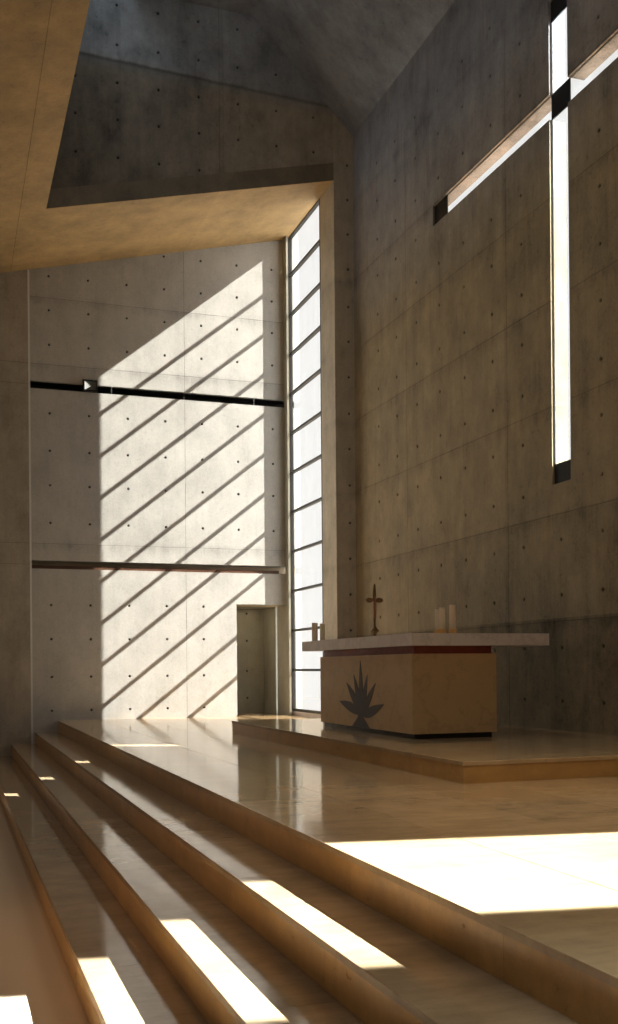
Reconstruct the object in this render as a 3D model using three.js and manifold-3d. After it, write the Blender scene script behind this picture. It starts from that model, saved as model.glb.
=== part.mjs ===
import * as THREE from 'three';
import * as BufferGeometryUtils from 'three/addons/utils/BufferGeometryUtils.js';
import Module from 'manifold-3d';

// The chancel end of a church in board-smooth raw concrete: stone steps up to a
// platform, a dais and altar, a north wall in three lifts with a doorway, a tall
// side window, an altar wall pierced by a glazed cross, and a sloping soffit with a
// light well above it.
// Millimetres. X runs east to the altar wall, Y north, Z up from the nave floor.
// X is zero at the platform's edge and Y is zero at the north wall's inner face.

// Stone steps and platform
const STEP_COUNT = 4;
const RISER_H = 186;
const TREAD_GOING = 377;
const FACING_T = 25;
const PAVING_T = 30;
const NOSING = 6;
const PLATFORM_Z = STEP_COUNT * RISER_H;
const CORE_Z = PLATFORM_Z - PAVING_T;
const STEPS_SOUTH_Y = -15900;

// Main wall planes
const WALL_Y = 0;
const GLASS_T = 12;
const BED = 0.3;
const LEAF_T = 300;
const NORTH_WALL_T = 640;
const WEST_END_X = -1714;
const WINDOW_X = 4094;
const ALTAR_WALL_X = 4425;
const ALTAR_WALL_T = 200;
const ALTAR_WALL_OUT_X = ALTAR_WALL_X + ALTAR_WALL_T;
const WELL_WALL_Y = -2364;
const WELL_WALL_T = 300;
const WINDOW_JAMB_Y = -1728;
const WINDOW_PIER_T = 250;
const NORTH_WALL_EAST_X = 4296;

// North wall features
const JOINT_STRIP_X = -424;
const JOINT_STRIP_W = 30;
const JOINT_STRIP_DEPTH = 24;
const LOWER_SLOT = [3274, 3414];
const UPPER_SLOT = [6264, 6394];
const DOOR_X = [3090, 4003];
const DOOR_HEAD_Z = 2724;
const PASSAGE_LENGTH = 1400;
const PASSAGE_WALL_T = 250;
const PASSAGE_ROOF_T = 200;
const PASSAGE_SLIT_Y = [520, 620];
const PASSAGE_SLIT_GLASS_X = 4150;
const SPOT_X = [445, 685];
const SPOT_PROUD = 60;
const SPOT_Z = [6268, 6461];

// Sloping soffit and the light well above it
const SOFFIT_SLOPE = 0.2386;
const SOFFIT_Z_AT_EDGE = 8322;
const SOFFIT_T = 280;
const WELL_WEST_X = -339;
const WELL_WEST_T = 250;
const ROOF_T = 250;
const ROOF_Z = 11644;
const ROOF_BEND_X = 2789;
const ROOF_AT_ALTAR_WALL_Z = 10054;
const ROOF_LIGHT_EAST_X = 886;
const ROOF_LIGHT_LAP = 100;
const ROOF_LIGHT_T = 16;

// Side window
const FRAME_DEPTH = 60;
const FRAME_STILE = 50;
const FRAME_TRANSOM = 40;
const FRAME_HEAD = 20;
const SILL_TOP_Z = 819;
const LOWEST_PANE_Z = 865;
const PANE_PITCH = 707;
const PANE_COUNT = 12;
const FRAME_BACK_X = WINDOW_X + FRAME_DEPTH;
const GLASS_BACK_X = FRAME_BACK_X + GLASS_T;
const JAMB_NIB = { w: 37, proud: 185 };

// Glazed cross in the altar wall
const CROSS_Y = -8223;
const CROSS_HALF_W = 175;
const CROSS_ARM = 3010;
const CROSS_ARM_Z = [7459, 7729];
const CROSS_FOOT_Z = 3534;
const CROSS_TOP_Z = 8724;
const END_PANEL_ARM = 367;
const END_PANEL_FOOT = 220;
const PANEL_RECESS = 28;
const GLASS_RECESS = 40;
const ALTAR_WALL_TOP_JOINT_Z = 9000;
const ALTAR_WALL_SOUTH_Y = 2 * CROSS_Y - WELL_WALL_Y;

// Dais and altar
const DAIS_X = 1786;
const DAIS_Y = [-10998, -4518];
const DAIS_H = 160;
const DAIS_Z = PLATFORM_Z + DAIS_H;
const ALTAR_X = [2428, 3326];
const ALTAR_Y = [-8758, -6188];
const ALTAR_RECESS = 35;
const PLINTH_H = 49;
const BLOCK_H = 764;
const NECK_H = 76;
const SLAB_H = 117;
const SLAB_X = [2386, 3866];
const SLAB_Y = [-8848, -5648];
const BLOCK_Z = DAIS_Z + PLINTH_H;
const NECK_Z = BLOCK_Z + BLOCK_H;
const SLAB_Z = NECK_Z + NECK_H;
const ALTAR_TOP_Z = SLAB_Z + SLAB_H;

// Leaf spray set on the altar's west face
const INLAY_T = 5;
const INLAY_Y = -7450;
const LEAF_LENGTH = 430;
const LEAF_WIDTH = 120;
const LEAF_FAN = [-78, -50, -24, 0, 24, 50, 78];
const LEAF_REACH = [1.5, 1.25, 1.1, 1.35, 1.1, 1.25, 1.5];
const INLAY_FOOT_W = 250;
const INLAY_FOOT_H = 130;
const INLAY_HUB_Z = 130;
const INLAY_HUB_R = 75;

// Things standing on the altar
const CANDLES = [
  { x: 3006, y: -8138, r: 30, top: 2190, held: true },
  { x: 2906, y: -8438, r: 30, top: 2186, held: true },
  { x: 3021, y: -8438, r: 32, top: 2215, held: true },
  { x: 2500, y: -5798, r: 36, top: 2147, held: false },
  { x: 2598, y: -5798, r: 30, top: 2140, held: false },
];
const HOLDER_R = 42;
const HOLDER_H = 40;
const STAND = { x: 2786, y: -6998, height: 614, baseR: 52, baseH: 22, neckR: 30, neckH: 60 };
const STAND_BAR = { w: 26, t: 14, armZ: 430, armHalf: 78, flareW: 40, flareL: 26 };
const FIGURE_GAP = 0.4;
const ROUND_SIDES = 32;

const wasm = await Module();
wasm.setup();

const SURFACES = {
  concrete: { color: 0x9a958c, roughness: 0.82, metalness: 0 },
  marble: { color: 0xc9b397, roughness: 0.28, metalness: 0 },
  altar_stone: { color: 0xcdb892, roughness: 0.5, metalness: 0 },
  slab_stone: { color: 0xd8d2c8, roughness: 0.4, metalness: 0 },
  neck_stone: { color: 0x4a1512, roughness: 0.4, metalness: 0 },
  plinth_stone: { color: 0x1c1310, roughness: 0.4, metalness: 0 },
  inlay_stone: { color: 0x3a2a25, roughness: 0.45, metalness: 0 },
  frame_metal: { color: 0x26282a, roughness: 0.45, metalness: 0.7 },
  black_panel: { color: 0x0c0c0d, roughness: 0.4, metalness: 0.2 },
  white_trim: { color: 0xd9dad6, roughness: 0.5, metalness: 0.1 },
  glass: { color: 0xdfe8ea, roughness: 0.08, metalness: 0 },
  brass: { color: 0xb08a3c, roughness: 0.3, metalness: 1 },
  bronze: { color: 0x5a4a30, roughness: 0.4, metalness: 1 },
  wax: { color: 0xe9e2d2, roughness: 0.5, metalness: 0 },
};

const church = new THREE.Group();
church.name = 'modern_church_building';

function add(name, geometry, surface) {
  const mesh = new THREE.Mesh(geometry, new THREE.MeshStandardMaterial(SURFACES[surface]));
  mesh.name = name;
  church.add(mesh);
}

function box(x, y, z) {
  const geometry = new THREE.BoxGeometry(x[1] - x[0], y[1] - y[0], z[1] - z[0]);
  return geometry.translate((x[0] + x[1]) / 2, (y[0] + y[1]) / 2, (z[0] + z[1]) / 2);
}

function outline(points) {
  return new THREE.Shape(points.map(([a, b]) => new THREE.Vector2(a, b)));
}

function extruded(points, depth) {
  return new THREE.ExtrudeGeometry(outline(points), { depth, bevelEnabled: false });
}

// A plan outline of X and Y raised from z[0] to z[1]
function plan(points, z) {
  return extruded(points, z[1] - z[0]).translate(0, 0, z[0]);
}

// A section of X and Z carried along Y
function section(points, y) {
  return extruded(points, y[1] - y[0]).rotateX(Math.PI / 2).translate(0, y[1], 0);
}

// An elevation of Y and Z given thickness along X
function elevation(points, x) {
  const basis = new THREE.Matrix4().makeBasis(
    new THREE.Vector3(0, 1, 0),
    new THREE.Vector3(0, 0, 1),
    new THREE.Vector3(1, 0, 0),
  );
  return extruded(points, x[1] - x[0]).applyMatrix4(basis).translate(x[0], 0, 0);
}

function upright(radius, z, x, y) {
  const geometry = new THREE.CylinderGeometry(radius, radius, z[1] - z[0], ROUND_SIDES);
  return geometry.rotateX(Math.PI / 2).translate(x, y, (z[0] + z[1]) / 2);
}

function turned(profile, x, y, z) {
  const points = profile.map(([r, h]) => new THREE.Vector2(r, h));
  return new THREE.LatheGeometry(points, ROUND_SIDES).rotateX(Math.PI / 2).translate(x, y, z);
}

function toManifold(geometry) {
  const plain = geometry.clone();
  plain.deleteAttribute('normal');
  plain.deleteAttribute('uv');
  const merged = BufferGeometryUtils.mergeVertices(plain, 1e-3);
  return new wasm.Manifold(new wasm.Mesh({
    numProp: 3,
    vertProperties: Float32Array.from(merged.attributes.position.array),
    triVerts: Uint32Array.from(merged.index.array),
  }));
}

function joined(geometries) {
  const solid = geometries.map(toManifold).reduce((whole, piece) => whole.add(piece));
  const mesh = solid.getMesh();
  const geometry = new THREE.BufferGeometry();
  geometry.setAttribute('position', new THREE.BufferAttribute(Float32Array.from(mesh.vertProperties), 3));
  geometry.setIndex(Array.from(mesh.triVerts));
  geometry.computeVertexNormals();
  return geometry;
}

function soffitAt(x) {
  return SOFFIT_Z_AT_EDGE + SOFFIT_SLOPE * x;
}

// Where a wall stops below the soffit, and where one starts above its slab
function wallHeadAt(x) {
  return soffitAt(x) - BED;
}

function wallFootAt(x) {
  return soffitAt(x) + SOFFIT_T + BED;
}

const ROOF_FALL = (ROOF_Z - ROOF_AT_ALTAR_WALL_Z) / (ALTAR_WALL_X - ROOF_BEND_X);
const ROOF_TOP_RISE = ROOF_T * Math.hypot(1, ROOF_FALL);

function roofAt(x) {
  return x < ROOF_BEND_X ? ROOF_Z : ROOF_Z - ROOF_FALL * (x - ROOF_BEND_X);
}

function underRoofAt(x) {
  return roofAt(x) - BED;
}

function addSteps() {
  const south = [STEPS_SOUTH_Y, WALL_Y];
  const lowest = -TREAD_GOING * (STEP_COUNT - 1);
  const stair = [[FACING_T, 0], [FACING_T, CORE_Z - RISER_H]];
  for (let step = 2; step < STEP_COUNT; step += 1) {
    const x = FACING_T - TREAD_GOING * (step - 1);
    const z = CORE_Z - RISER_H * (step - 1);
    stair.push([x, z], [x, z - RISER_H]);
  }
  stair.push([lowest + FACING_T, RISER_H - PAVING_T], [lowest + FACING_T, 0]);
  add('step_core', section(stair.reverse(), south), 'concrete');
  for (let step = 1; step <= STEP_COUNT; step += 1) {
    const x = -TREAD_GOING * (step - 1);
    const top = PLATFORM_Z - RISER_H * (step - 1);
    const foot = step === STEP_COUNT ? 0 : top - RISER_H;
    add(`riser_${step}`, box([x, x + FACING_T], south, [foot, top - PAVING_T]), 'marble');
    if (step > 1) {
      const tread = [x - NOSING, x + TREAD_GOING];
      add(`tread_${step - 1}`, box(tread, south, [top - PAVING_T, top]), 'marble');
    }
  }
  const platform = [
    [FACING_T, STEPS_SOUTH_Y],
    [ALTAR_WALL_X, STEPS_SOUTH_Y],
    [ALTAR_WALL_X, WELL_WALL_Y],
    [WINDOW_X, WELL_WALL_Y],
    [WINDOW_X, WINDOW_JAMB_Y],
    [GLASS_BACK_X, WINDOW_JAMB_Y],
    [GLASS_BACK_X, WALL_Y],
    [DOOR_X[1], WALL_Y],
    [DOOR_X[1], PASSAGE_LENGTH],
    [DOOR_X[0], PASSAGE_LENGTH],
    [DOOR_X[0], WALL_Y],
    [FACING_T, WALL_Y],
  ];
  add('platform_core', plan(platform, [0, CORE_Z]), 'concrete');
  const paving = [
    [-NOSING, STEPS_SOUTH_Y],
    [ALTAR_WALL_X, STEPS_SOUTH_Y],
    [ALTAR_WALL_X, WELL_WALL_Y],
    [WINDOW_X, WELL_WALL_Y],
    [WINDOW_X, WALL_Y],
    [DOOR_X[1], WALL_Y],
    [DOOR_X[1], PASSAGE_LENGTH],
    [DOOR_X[0], PASSAGE_LENGTH],
    [DOOR_X[0], WALL_Y],
    [-NOSING, WALL_Y],
  ];
  add('platform_paving', plan(paving, [CORE_Z, PLATFORM_Z]), 'marble');
}

function addDais() {
  const x = [DAIS_X + NOSING, ALTAR_WALL_X];
  const y = [DAIS_Y[0] + NOSING, DAIS_Y[1] - NOSING];
  add('dais_core', box(x, y, [PLATFORM_Z, DAIS_Z - PAVING_T]), 'marble');
  add('dais_paving', box([DAIS_X, ALTAR_WALL_X], DAIS_Y, [DAIS_Z - PAVING_T, DAIS_Z]), 'marble');
}

function addNorthWall() {
  const panelWest = JOINT_STRIP_X + JOINT_STRIP_W / 2;
  const endEast = JOINT_STRIP_X - JOINT_STRIP_W / 2;
  const leaf = [WALL_Y, LEAF_T];
  const lower = [
    [panelWest, 0],
    [DOOR_X[0], 0],
    [DOOR_X[0], DOOR_HEAD_Z],
    [NORTH_WALL_EAST_X, DOOR_HEAD_Z],
    [NORTH_WALL_EAST_X, LOWER_SLOT[0]],
    [panelWest, LOWER_SLOT[0]],
  ];
  add('north_wall_lower', section(lower, leaf), 'concrete');
  const span = [panelWest, NORTH_WALL_EAST_X];
  add('north_wall_middle', box(span, leaf, [LOWER_SLOT[1], UPPER_SLOT[0]]), 'concrete');
  const upper = [
    [panelWest, UPPER_SLOT[1]],
    [NORTH_WALL_EAST_X, UPPER_SLOT[1]],
    [NORTH_WALL_EAST_X, wallHeadAt(NORTH_WALL_EAST_X)],
    [panelWest, wallHeadAt(panelWest)],
  ];
  add('north_wall_upper', section(upper, leaf), 'concrete');
  const westEnd = [
    [WEST_END_X, 0],
    [endEast, 0],
    [endEast, wallHeadAt(endEast)],
    [WEST_END_X, wallHeadAt(WEST_END_X)],
  ];
  add('north_wall_west_end', section(westEnd, leaf), 'concrete');
  const back = [
    [WEST_END_X, 0],
    [DOOR_X[0], 0],
    [DOOR_X[0], DOOR_HEAD_Z],
    [NORTH_WALL_EAST_X, DOOR_HEAD_Z],
    [NORTH_WALL_EAST_X, wallHeadAt(NORTH_WALL_EAST_X)],
    [WEST_END_X, wallHeadAt(WEST_END_X)],
  ];
  add('north_wall_back', section(back, [LEAF_T, NORTH_WALL_T]), 'concrete');
  const strip = box(
    [endEast, panelWest],
    [WALL_Y, WALL_Y + JOINT_STRIP_DEPTH],
    [0, wallHeadAt(endEast)],
  );
  add('wall_joint_strip', strip, 'white_trim');
  add('slot_spotlight', box(SPOT_X, [WALL_Y - SPOT_PROUD, WALL_Y], SPOT_Z), 'white_trim');
}

function addPassage() {
  const outWest = DOOR_X[0] - PASSAGE_WALL_T;
  const end = PASSAGE_LENGTH;
  const slit = PASSAGE_SLIT_Y;
  const east = [
    [WALL_Y, 0],
    [end, 0],
    [end, DOOR_HEAD_Z],
    [slit[1], DOOR_HEAD_Z],
    [slit[1], PLATFORM_Z],
    [slit[0], PLATFORM_Z],
    [slit[0], DOOR_HEAD_Z],
    [WALL_Y, DOOR_HEAD_Z],
  ];
  add('passage_east_wall', elevation(east, [DOOR_X[1], NORTH_WALL_EAST_X]), 'concrete');
  const glassX = [PASSAGE_SLIT_GLASS_X, PASSAGE_SLIT_GLASS_X + GLASS_T];
  add('passage_slit_glass', box(glassX, slit, [PLATFORM_Z, DOOR_HEAD_Z]), 'glass');
  add('passage_west_wall', box([outWest, DOOR_X[0]], [NORTH_WALL_T, end], [0, DOOR_HEAD_Z]), 'concrete');
  const across = [outWest, NORTH_WALL_EAST_X];
  const back = [end, end + PASSAGE_WALL_T];
  add('passage_back_wall', box(across, back, [0, DOOR_HEAD_Z]), 'concrete');
  const cover = [DOOR_HEAD_Z, DOOR_HEAD_Z + PASSAGE_ROOF_T];
  add('passage_roof', box(across, [NORTH_WALL_T, back[1]], cover), 'concrete');
}

function slopingSlab(x, y) {
  const slab = [
    [x[0], soffitAt(x[0])],
    [x[1], soffitAt(x[1])],
    [x[1], soffitAt(x[1]) + SOFFIT_T],
    [x[0], soffitAt(x[0]) + SOFFIT_T],
  ];
  return section(slab, y);
}

function addSoffit() {
  const north = joined([
    slopingSlab([WEST_END_X, WINDOW_X], [WELL_WALL_Y, NORTH_WALL_T]),
    slopingSlab([WINDOW_X, GLASS_BACK_X], [WINDOW_JAMB_Y, WALL_Y]),
    slopingSlab([WINDOW_X, NORTH_WALL_EAST_X], [WALL_Y, NORTH_WALL_T]),
  ]);
  add('soffit_north_strip', north, 'concrete');
  const west = slopingSlab([WEST_END_X, WELL_WEST_X], [ALTAR_WALL_SOUTH_Y, WELL_WALL_Y]);
  add('soffit_west_strip', west, 'concrete');
}

function addLightWell() {
  const outWest = WELL_WEST_X - WELL_WEST_T;
  const north = [
    [outWest, wallFootAt(outWest)],
    [WINDOW_X, wallFootAt(WINDOW_X)],
    [WINDOW_X, underRoofAt(WINDOW_X)],
    [ROOF_BEND_X, underRoofAt(ROOF_BEND_X)],
    [ROOF_LIGHT_EAST_X, underRoofAt(ROOF_LIGHT_EAST_X)],
    [ROOF_LIGHT_EAST_X, ROOF_Z + ROOF_T],
    [outWest, ROOF_Z + ROOF_T],
  ];
  add('well_north_wall', section(north, [WELL_WALL_Y, WELL_WALL_Y + WELL_WALL_T]), 'concrete');
  const west = [
    [outWest, wallFootAt(outWest)],
    [WELL_WEST_X, wallFootAt(WELL_WEST_X)],
    [WELL_WEST_X, ROOF_Z + ROOF_T],
    [outWest, ROOF_Z + ROOF_T],
  ];
  add('well_west_wall', section(west, [ALTAR_WALL_SOUTH_Y, WELL_WALL_Y]), 'concrete');
  const bendTop = ROOF_BEND_X + (ROOF_TOP_RISE - ROOF_T) / ROOF_FALL;
  const roof = [
    [ROOF_LIGHT_EAST_X, ROOF_Z],
    [ROOF_BEND_X, ROOF_Z],
    [ALTAR_WALL_OUT_X, roofAt(ALTAR_WALL_OUT_X)],
    [ALTAR_WALL_OUT_X, roofAt(ALTAR_WALL_OUT_X) + ROOF_TOP_RISE],
    [bendTop, ROOF_Z + ROOF_T],
    [ROOF_LIGHT_EAST_X, ROOF_Z + ROOF_T],
  ];
  add('roof', section(roof, [ALTAR_WALL_SOUTH_Y, WELL_WALL_Y + WELL_WALL_T]), 'concrete');
  const light = box(
    [outWest, ROOF_LIGHT_EAST_X + ROOF_LIGHT_LAP],
    [ALTAR_WALL_SOUTH_Y, WELL_WALL_Y + WELL_WALL_T],
    [ROOF_Z + ROOF_T, ROOF_Z + ROOF_T + ROOF_LIGHT_T],
  );
  add('roof_light_glass', light, 'glass');
}

function addPierAndWindow() {
  const pierEast = WINDOW_X + WINDOW_PIER_T;
  const returnY = [WELL_WALL_Y, WELL_WALL_Y + WELL_WALL_T];
  const returnWall = [
    [WINDOW_X, 0],
    [ALTAR_WALL_OUT_X, 0],
    [ALTAR_WALL_OUT_X, underRoofAt(ALTAR_WALL_OUT_X)],
    [WINDOW_X, underRoofAt(WINDOW_X)],
  ];
  const besideWindow = [
    [WINDOW_X, 0],
    [pierEast, 0],
    [pierEast, wallFootAt(pierEast)],
    [WINDOW_X, wallFootAt(WINDOW_X)],
  ];
  const pier = joined([
    section(returnWall, returnY),
    section(besideWindow, [returnY[1], WINDOW_JAMB_Y]),
  ]);
  add('pier', pier, 'concrete');
  const head = soffitAt(WINDOW_X);
  const depth = [WINDOW_X, FRAME_BACK_X];
  const outer = [WINDOW_JAMB_Y, WALL_Y];
  const inner = [WINDOW_JAMB_Y + FRAME_STILE, WALL_Y - FRAME_STILE];
  const bars = [
    box(depth, [outer[0], inner[0]], [SILL_TOP_Z, head]),
    box(depth, [inner[1], outer[1]], [SILL_TOP_Z, head]),
    box(depth, outer, [SILL_TOP_Z, LOWEST_PANE_Z]),
    box(depth, outer, [head - FRAME_HEAD, head]),
  ];
  for (let pane = 1; pane < PANE_COUNT; pane += 1) {
    const z = LOWEST_PANE_Z - FRAME_TRANSOM / 2 + PANE_PITCH * pane;
    bars.push(box(depth, outer, [z - FRAME_TRANSOM / 2, z + FRAME_TRANSOM / 2]));
  }
  add('window_frame', joined(bars), 'frame_metal');
  add('window_glass', box([FRAME_BACK_X, GLASS_BACK_X], outer, [SILL_TOP_Z, head]), 'glass');
  add('window_sill', box([WINDOW_X, GLASS_BACK_X], outer, [CORE_Z, SILL_TOP_Z]), 'marble');
  const nibEast = DOOR_X[1] + JAMB_NIB.w;
  const nib = [
    [DOOR_X[1], PLATFORM_Z],
    [nibEast, PLATFORM_Z],
    [nibEast, wallHeadAt(nibEast)],
    [DOOR_X[1], wallHeadAt(DOOR_X[1])],
  ];
  add('window_jamb_nib', section(nib, [WALL_Y - JAMB_NIB.proud, WALL_Y]), 'concrete');
}

function crossOutline() {
  const [armLow, armHigh] = CROSS_ARM_Z;
  const near = CROSS_Y - CROSS_HALF_W;
  const far = CROSS_Y + CROSS_HALF_W;
  const south = CROSS_Y - CROSS_ARM;
  const north = CROSS_Y + CROSS_ARM;
  return [
    [near, CROSS_FOOT_Z],
    [far, CROSS_FOOT_Z],
    [far, armLow],
    [north, armLow],
    [north, armHigh],
    [far, armHigh],
    [far, CROSS_TOP_Z],
    [near, CROSS_TOP_Z],
    [near, armHigh],
    [south, armHigh],
    [south, armLow],
    [near, armLow],
  ];
}

function addAltarWall() {
  const x = [ALTAR_WALL_X, ALTAR_WALL_OUT_X];
  const south = ALTAR_WALL_SOUTH_Y;
  const north = WELL_WALL_Y;
  const [armLow, armHigh] = CROSS_ARM_Z;
  const slot = [CROSS_Y - CROSS_HALF_W, CROSS_Y + CROSS_HALF_W];
  const arm = [CROSS_Y - CROSS_ARM, CROSS_Y + CROSS_ARM];
  const lower = [
    [south, 0],
    [north, 0],
    [north, armLow],
    [slot[1], armLow],
    [slot[1], CROSS_FOOT_Z],
    [slot[0], CROSS_FOOT_Z],
    [slot[0], armLow],
    [south, armLow],
  ];
  add('altar_wall_lower', elevation(lower, x), 'concrete');
  const upper = [
    [south, armLow],
    [arm[0], armLow],
    [arm[0], armHigh],
    [slot[0], armHigh],
    [slot[0], CROSS_TOP_Z],
    [slot[1], CROSS_TOP_Z],
    [slot[1], armHigh],
    [arm[1], armHigh],
    [arm[1], armLow],
    [north, armLow],
    [north, ALTAR_WALL_TOP_JOINT_Z],
    [south, ALTAR_WALL_TOP_JOINT_Z],
  ];
  add('altar_wall_upper', elevation(upper, x), 'concrete');
  const top = [
    [x[0], ALTAR_WALL_TOP_JOINT_Z],
    [x[1], ALTAR_WALL_TOP_JOINT_Z],
    [x[1], underRoofAt(x[1])],
    [x[0], underRoofAt(x[0])],
  ];
  add('altar_wall_top', section(top, [south, north]), 'concrete');
}

function addGlazedCross() {
  const glassX = [ALTAR_WALL_X + GLASS_RECESS, ALTAR_WALL_X + GLASS_RECESS + GLASS_T];
  add('cross_glass', elevation(crossOutline(), glassX), 'glass');
  const x = [ALTAR_WALL_X + PANEL_RECESS, glassX[0]];
  const slot = [CROSS_Y - CROSS_HALF_W, CROSS_Y + CROSS_HALF_W];
  const north = CROSS_Y + CROSS_ARM;
  const south = CROSS_Y - CROSS_ARM;
  const panel = (name, y, z) => add(name, box(x, y, z), 'black_panel');
  panel('cross_panel_centre', slot, CROSS_ARM_Z);
  panel('cross_panel_north', [north - END_PANEL_ARM, north], CROSS_ARM_Z);
  panel('cross_panel_south', [south, south + END_PANEL_ARM], CROSS_ARM_Z);
  panel('cross_panel_top', slot, [CROSS_TOP_Z - END_PANEL_FOOT, CROSS_TOP_Z]);
  panel('cross_panel_foot', slot, [CROSS_FOOT_Z, CROSS_FOOT_Z + END_PANEL_FOOT]);
}

function leaf(angle, reach) {
  const length = LEAF_LENGTH * reach;
  const shape = new THREE.Shape();
  shape.moveTo(0, 0);
  shape.bezierCurveTo(LEAF_WIDTH, length / 3, LEAF_WIDTH / 2, 2 * length / 3, 0, length);
  shape.bezierCurveTo(-LEAF_WIDTH / 3, 2 * length / 3, -LEAF_WIDTH / 2, length / 3, 0, 0);
  const geometry = new THREE.ExtrudeGeometry(shape, {
    depth: INLAY_T,
    bevelEnabled: false,
    curveSegments: 10,
  });
  return geometry.rotateZ(THREE.MathUtils.degToRad(angle)).translate(0, INLAY_HUB_Z, 0);
}

function addAltar() {
  const inset = (range) => [range[0] + ALTAR_RECESS, range[1] - ALTAR_RECESS];
  add('altar_plinth', box(inset(ALTAR_X), inset(ALTAR_Y), [DAIS_Z, BLOCK_Z]), 'plinth_stone');
  add('altar_block', box(ALTAR_X, ALTAR_Y, [BLOCK_Z, NECK_Z]), 'altar_stone');
  add('altar_neck', box(inset(ALTAR_X), inset(ALTAR_Y), [NECK_Z, SLAB_Z]), 'neck_stone');
  add('altar_slab', box(SLAB_X, SLAB_Y, [SLAB_Z, ALTAR_TOP_Z]), 'slab_stone');
  const foot = [
    [-INLAY_FOOT_W, 0],
    [INLAY_FOOT_W, 0],
    [INLAY_HUB_R / 2, INLAY_FOOT_H],
    [-INLAY_HUB_R / 2, INLAY_FOOT_H],
  ];
  const hub = new THREE.CylinderGeometry(INLAY_HUB_R, INLAY_HUB_R, INLAY_T, ROUND_SIDES)
    .rotateX(Math.PI / 2)
    .translate(0, INLAY_HUB_Z, INLAY_T / 2);
  const spray = [extruded(foot, INLAY_T), hub];
  LEAF_FAN.forEach((angle, index) => spray.push(leaf(angle, LEAF_REACH[index])));
  const facing = new THREE.Matrix4().makeBasis(
    new THREE.Vector3(0, -1, 0),
    new THREE.Vector3(0, 0, 1),
    new THREE.Vector3(-1, 0, 0),
  );
  const inlay = joined(spray).applyMatrix4(facing).translate(ALTAR_X[0], INLAY_Y, BLOCK_Z);
  add('altar_inlay', inlay, 'inlay_stone');
}

function limb(from, to, radius) {
  const a = new THREE.Vector3(...from);
  const b = new THREE.Vector3(...to);
  const along = b.clone().sub(a);
  const geometry = new THREE.CapsuleGeometry(radius, along.length(), 4, 10);
  geometry.applyQuaternion(new THREE.Quaternion().setFromUnitVectors(
    new THREE.Vector3(0, 1, 0),
    along.clone().normalize(),
  ));
  const middle = a.add(b).multiplyScalar(0.5);
  return geometry.translate(middle.x, middle.y, middle.z);
}

function addAltarTopThings() {
  CANDLES.forEach((candle, index) => {
    const foot = candle.held ? ALTAR_TOP_Z + HOLDER_H : ALTAR_TOP_Z;
    if (candle.held) {
      const holder = upright(HOLDER_R, [ALTAR_TOP_Z, foot], candle.x, candle.y);
      add(`candle_holder_${index + 1}`, holder, 'brass');
    }
    add(`candle_${index + 1}`, upright(candle.r, [foot, candle.top], candle.x, candle.y), 'wax');
  });
  const { x, y, height, baseR, baseH, neckR, neckH } = STAND;
  const { w, t, armZ, armHalf, flareW, flareL } = STAND_BAR;
  const foot = turned(
    [[0, 0], [baseR, 0], [baseR, baseH], [neckR, baseH * 2], [neckR / 2, neckH * 2], [0, neckH * 2]],
    x,
    y,
    ALTAR_TOP_Z,
  );
  const thick = [x - t / 2, x + t / 2];
  const flare = (span, rise) => box(
    thick,
    [y + span[0], y + span[1]],
    [ALTAR_TOP_Z + rise[0], ALTAR_TOP_Z + rise[1]],
  );
  const cross = joined([
    foot,
    flare([-w / 2, w / 2], [neckH, height]),
    flare([-armHalf, armHalf], [armZ - w / 2, armZ + w / 2]),
    flare([-armHalf - flareL, -armHalf], [armZ - flareW / 2, armZ + flareW / 2]),
    flare([armHalf, armHalf + flareL], [armZ - flareW / 2, armZ + flareW / 2]),
    flare([-flareW / 2, flareW / 2], [height - flareL, height]),
  ]);
  const facingSouth = (geometry) => geometry.translate(-x, -y, 0).rotateZ(Math.PI / 2).translate(x, y, 0);
  add('altar_cross', facingSouth(cross), 'bronze');
  const front = x - t / 2 - FIGURE_GAP;
  const at = (out, side, rise) => [front - out, y + side, ALTAR_TOP_Z + rise];
  const head = new THREE.SphereGeometry(14, 16, 12).translate(...at(15, 0, 472));
  const figure = joined([
    head,
    limb(at(14, 0, 420), at(14, 0, 462), 7),
    limb(at(14, 0, 345), at(14, 0, 415), 13),
    limb(at(9, 0, 418), at(8, 66, 438), 6),
    limb(at(9, 0, 418), at(8, -66, 438), 6),
    limb(at(11, 7, 340), at(9, 4, 235), 9),
    limb(at(11, -7, 340), at(9, -4, 235), 9),
  ]);
  add('altar_cross_figure', facingSouth(figure), 'bronze');
}

addSteps();
addDais();
addNorthWall();
addPassage();
addSoffit();
addLightWell();
addPierAndWindow();
addAltarWall();
addGlazedCross();
addAltar();
addAltarTopThings();

// The group's origin is the middle of the base of the whole piece
const bounds = new THREE.Box3().setFromObject(church);
const middle = bounds.getCenter(new THREE.Vector3());
church.children.forEach((mesh) => {
  mesh.geometry.translate(-middle.x, -middle.y, -bounds.min.z);
});

export default church;
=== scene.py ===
"""The chancel end of a modern church: raw concrete walls with tie holes and pour
joints, polished stone steps, a dais and altar, a tall side window and a glazed cross."""
import math

import bmesh
import bpy
import numpy as np
from mathutils import Matrix, Vector


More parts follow.
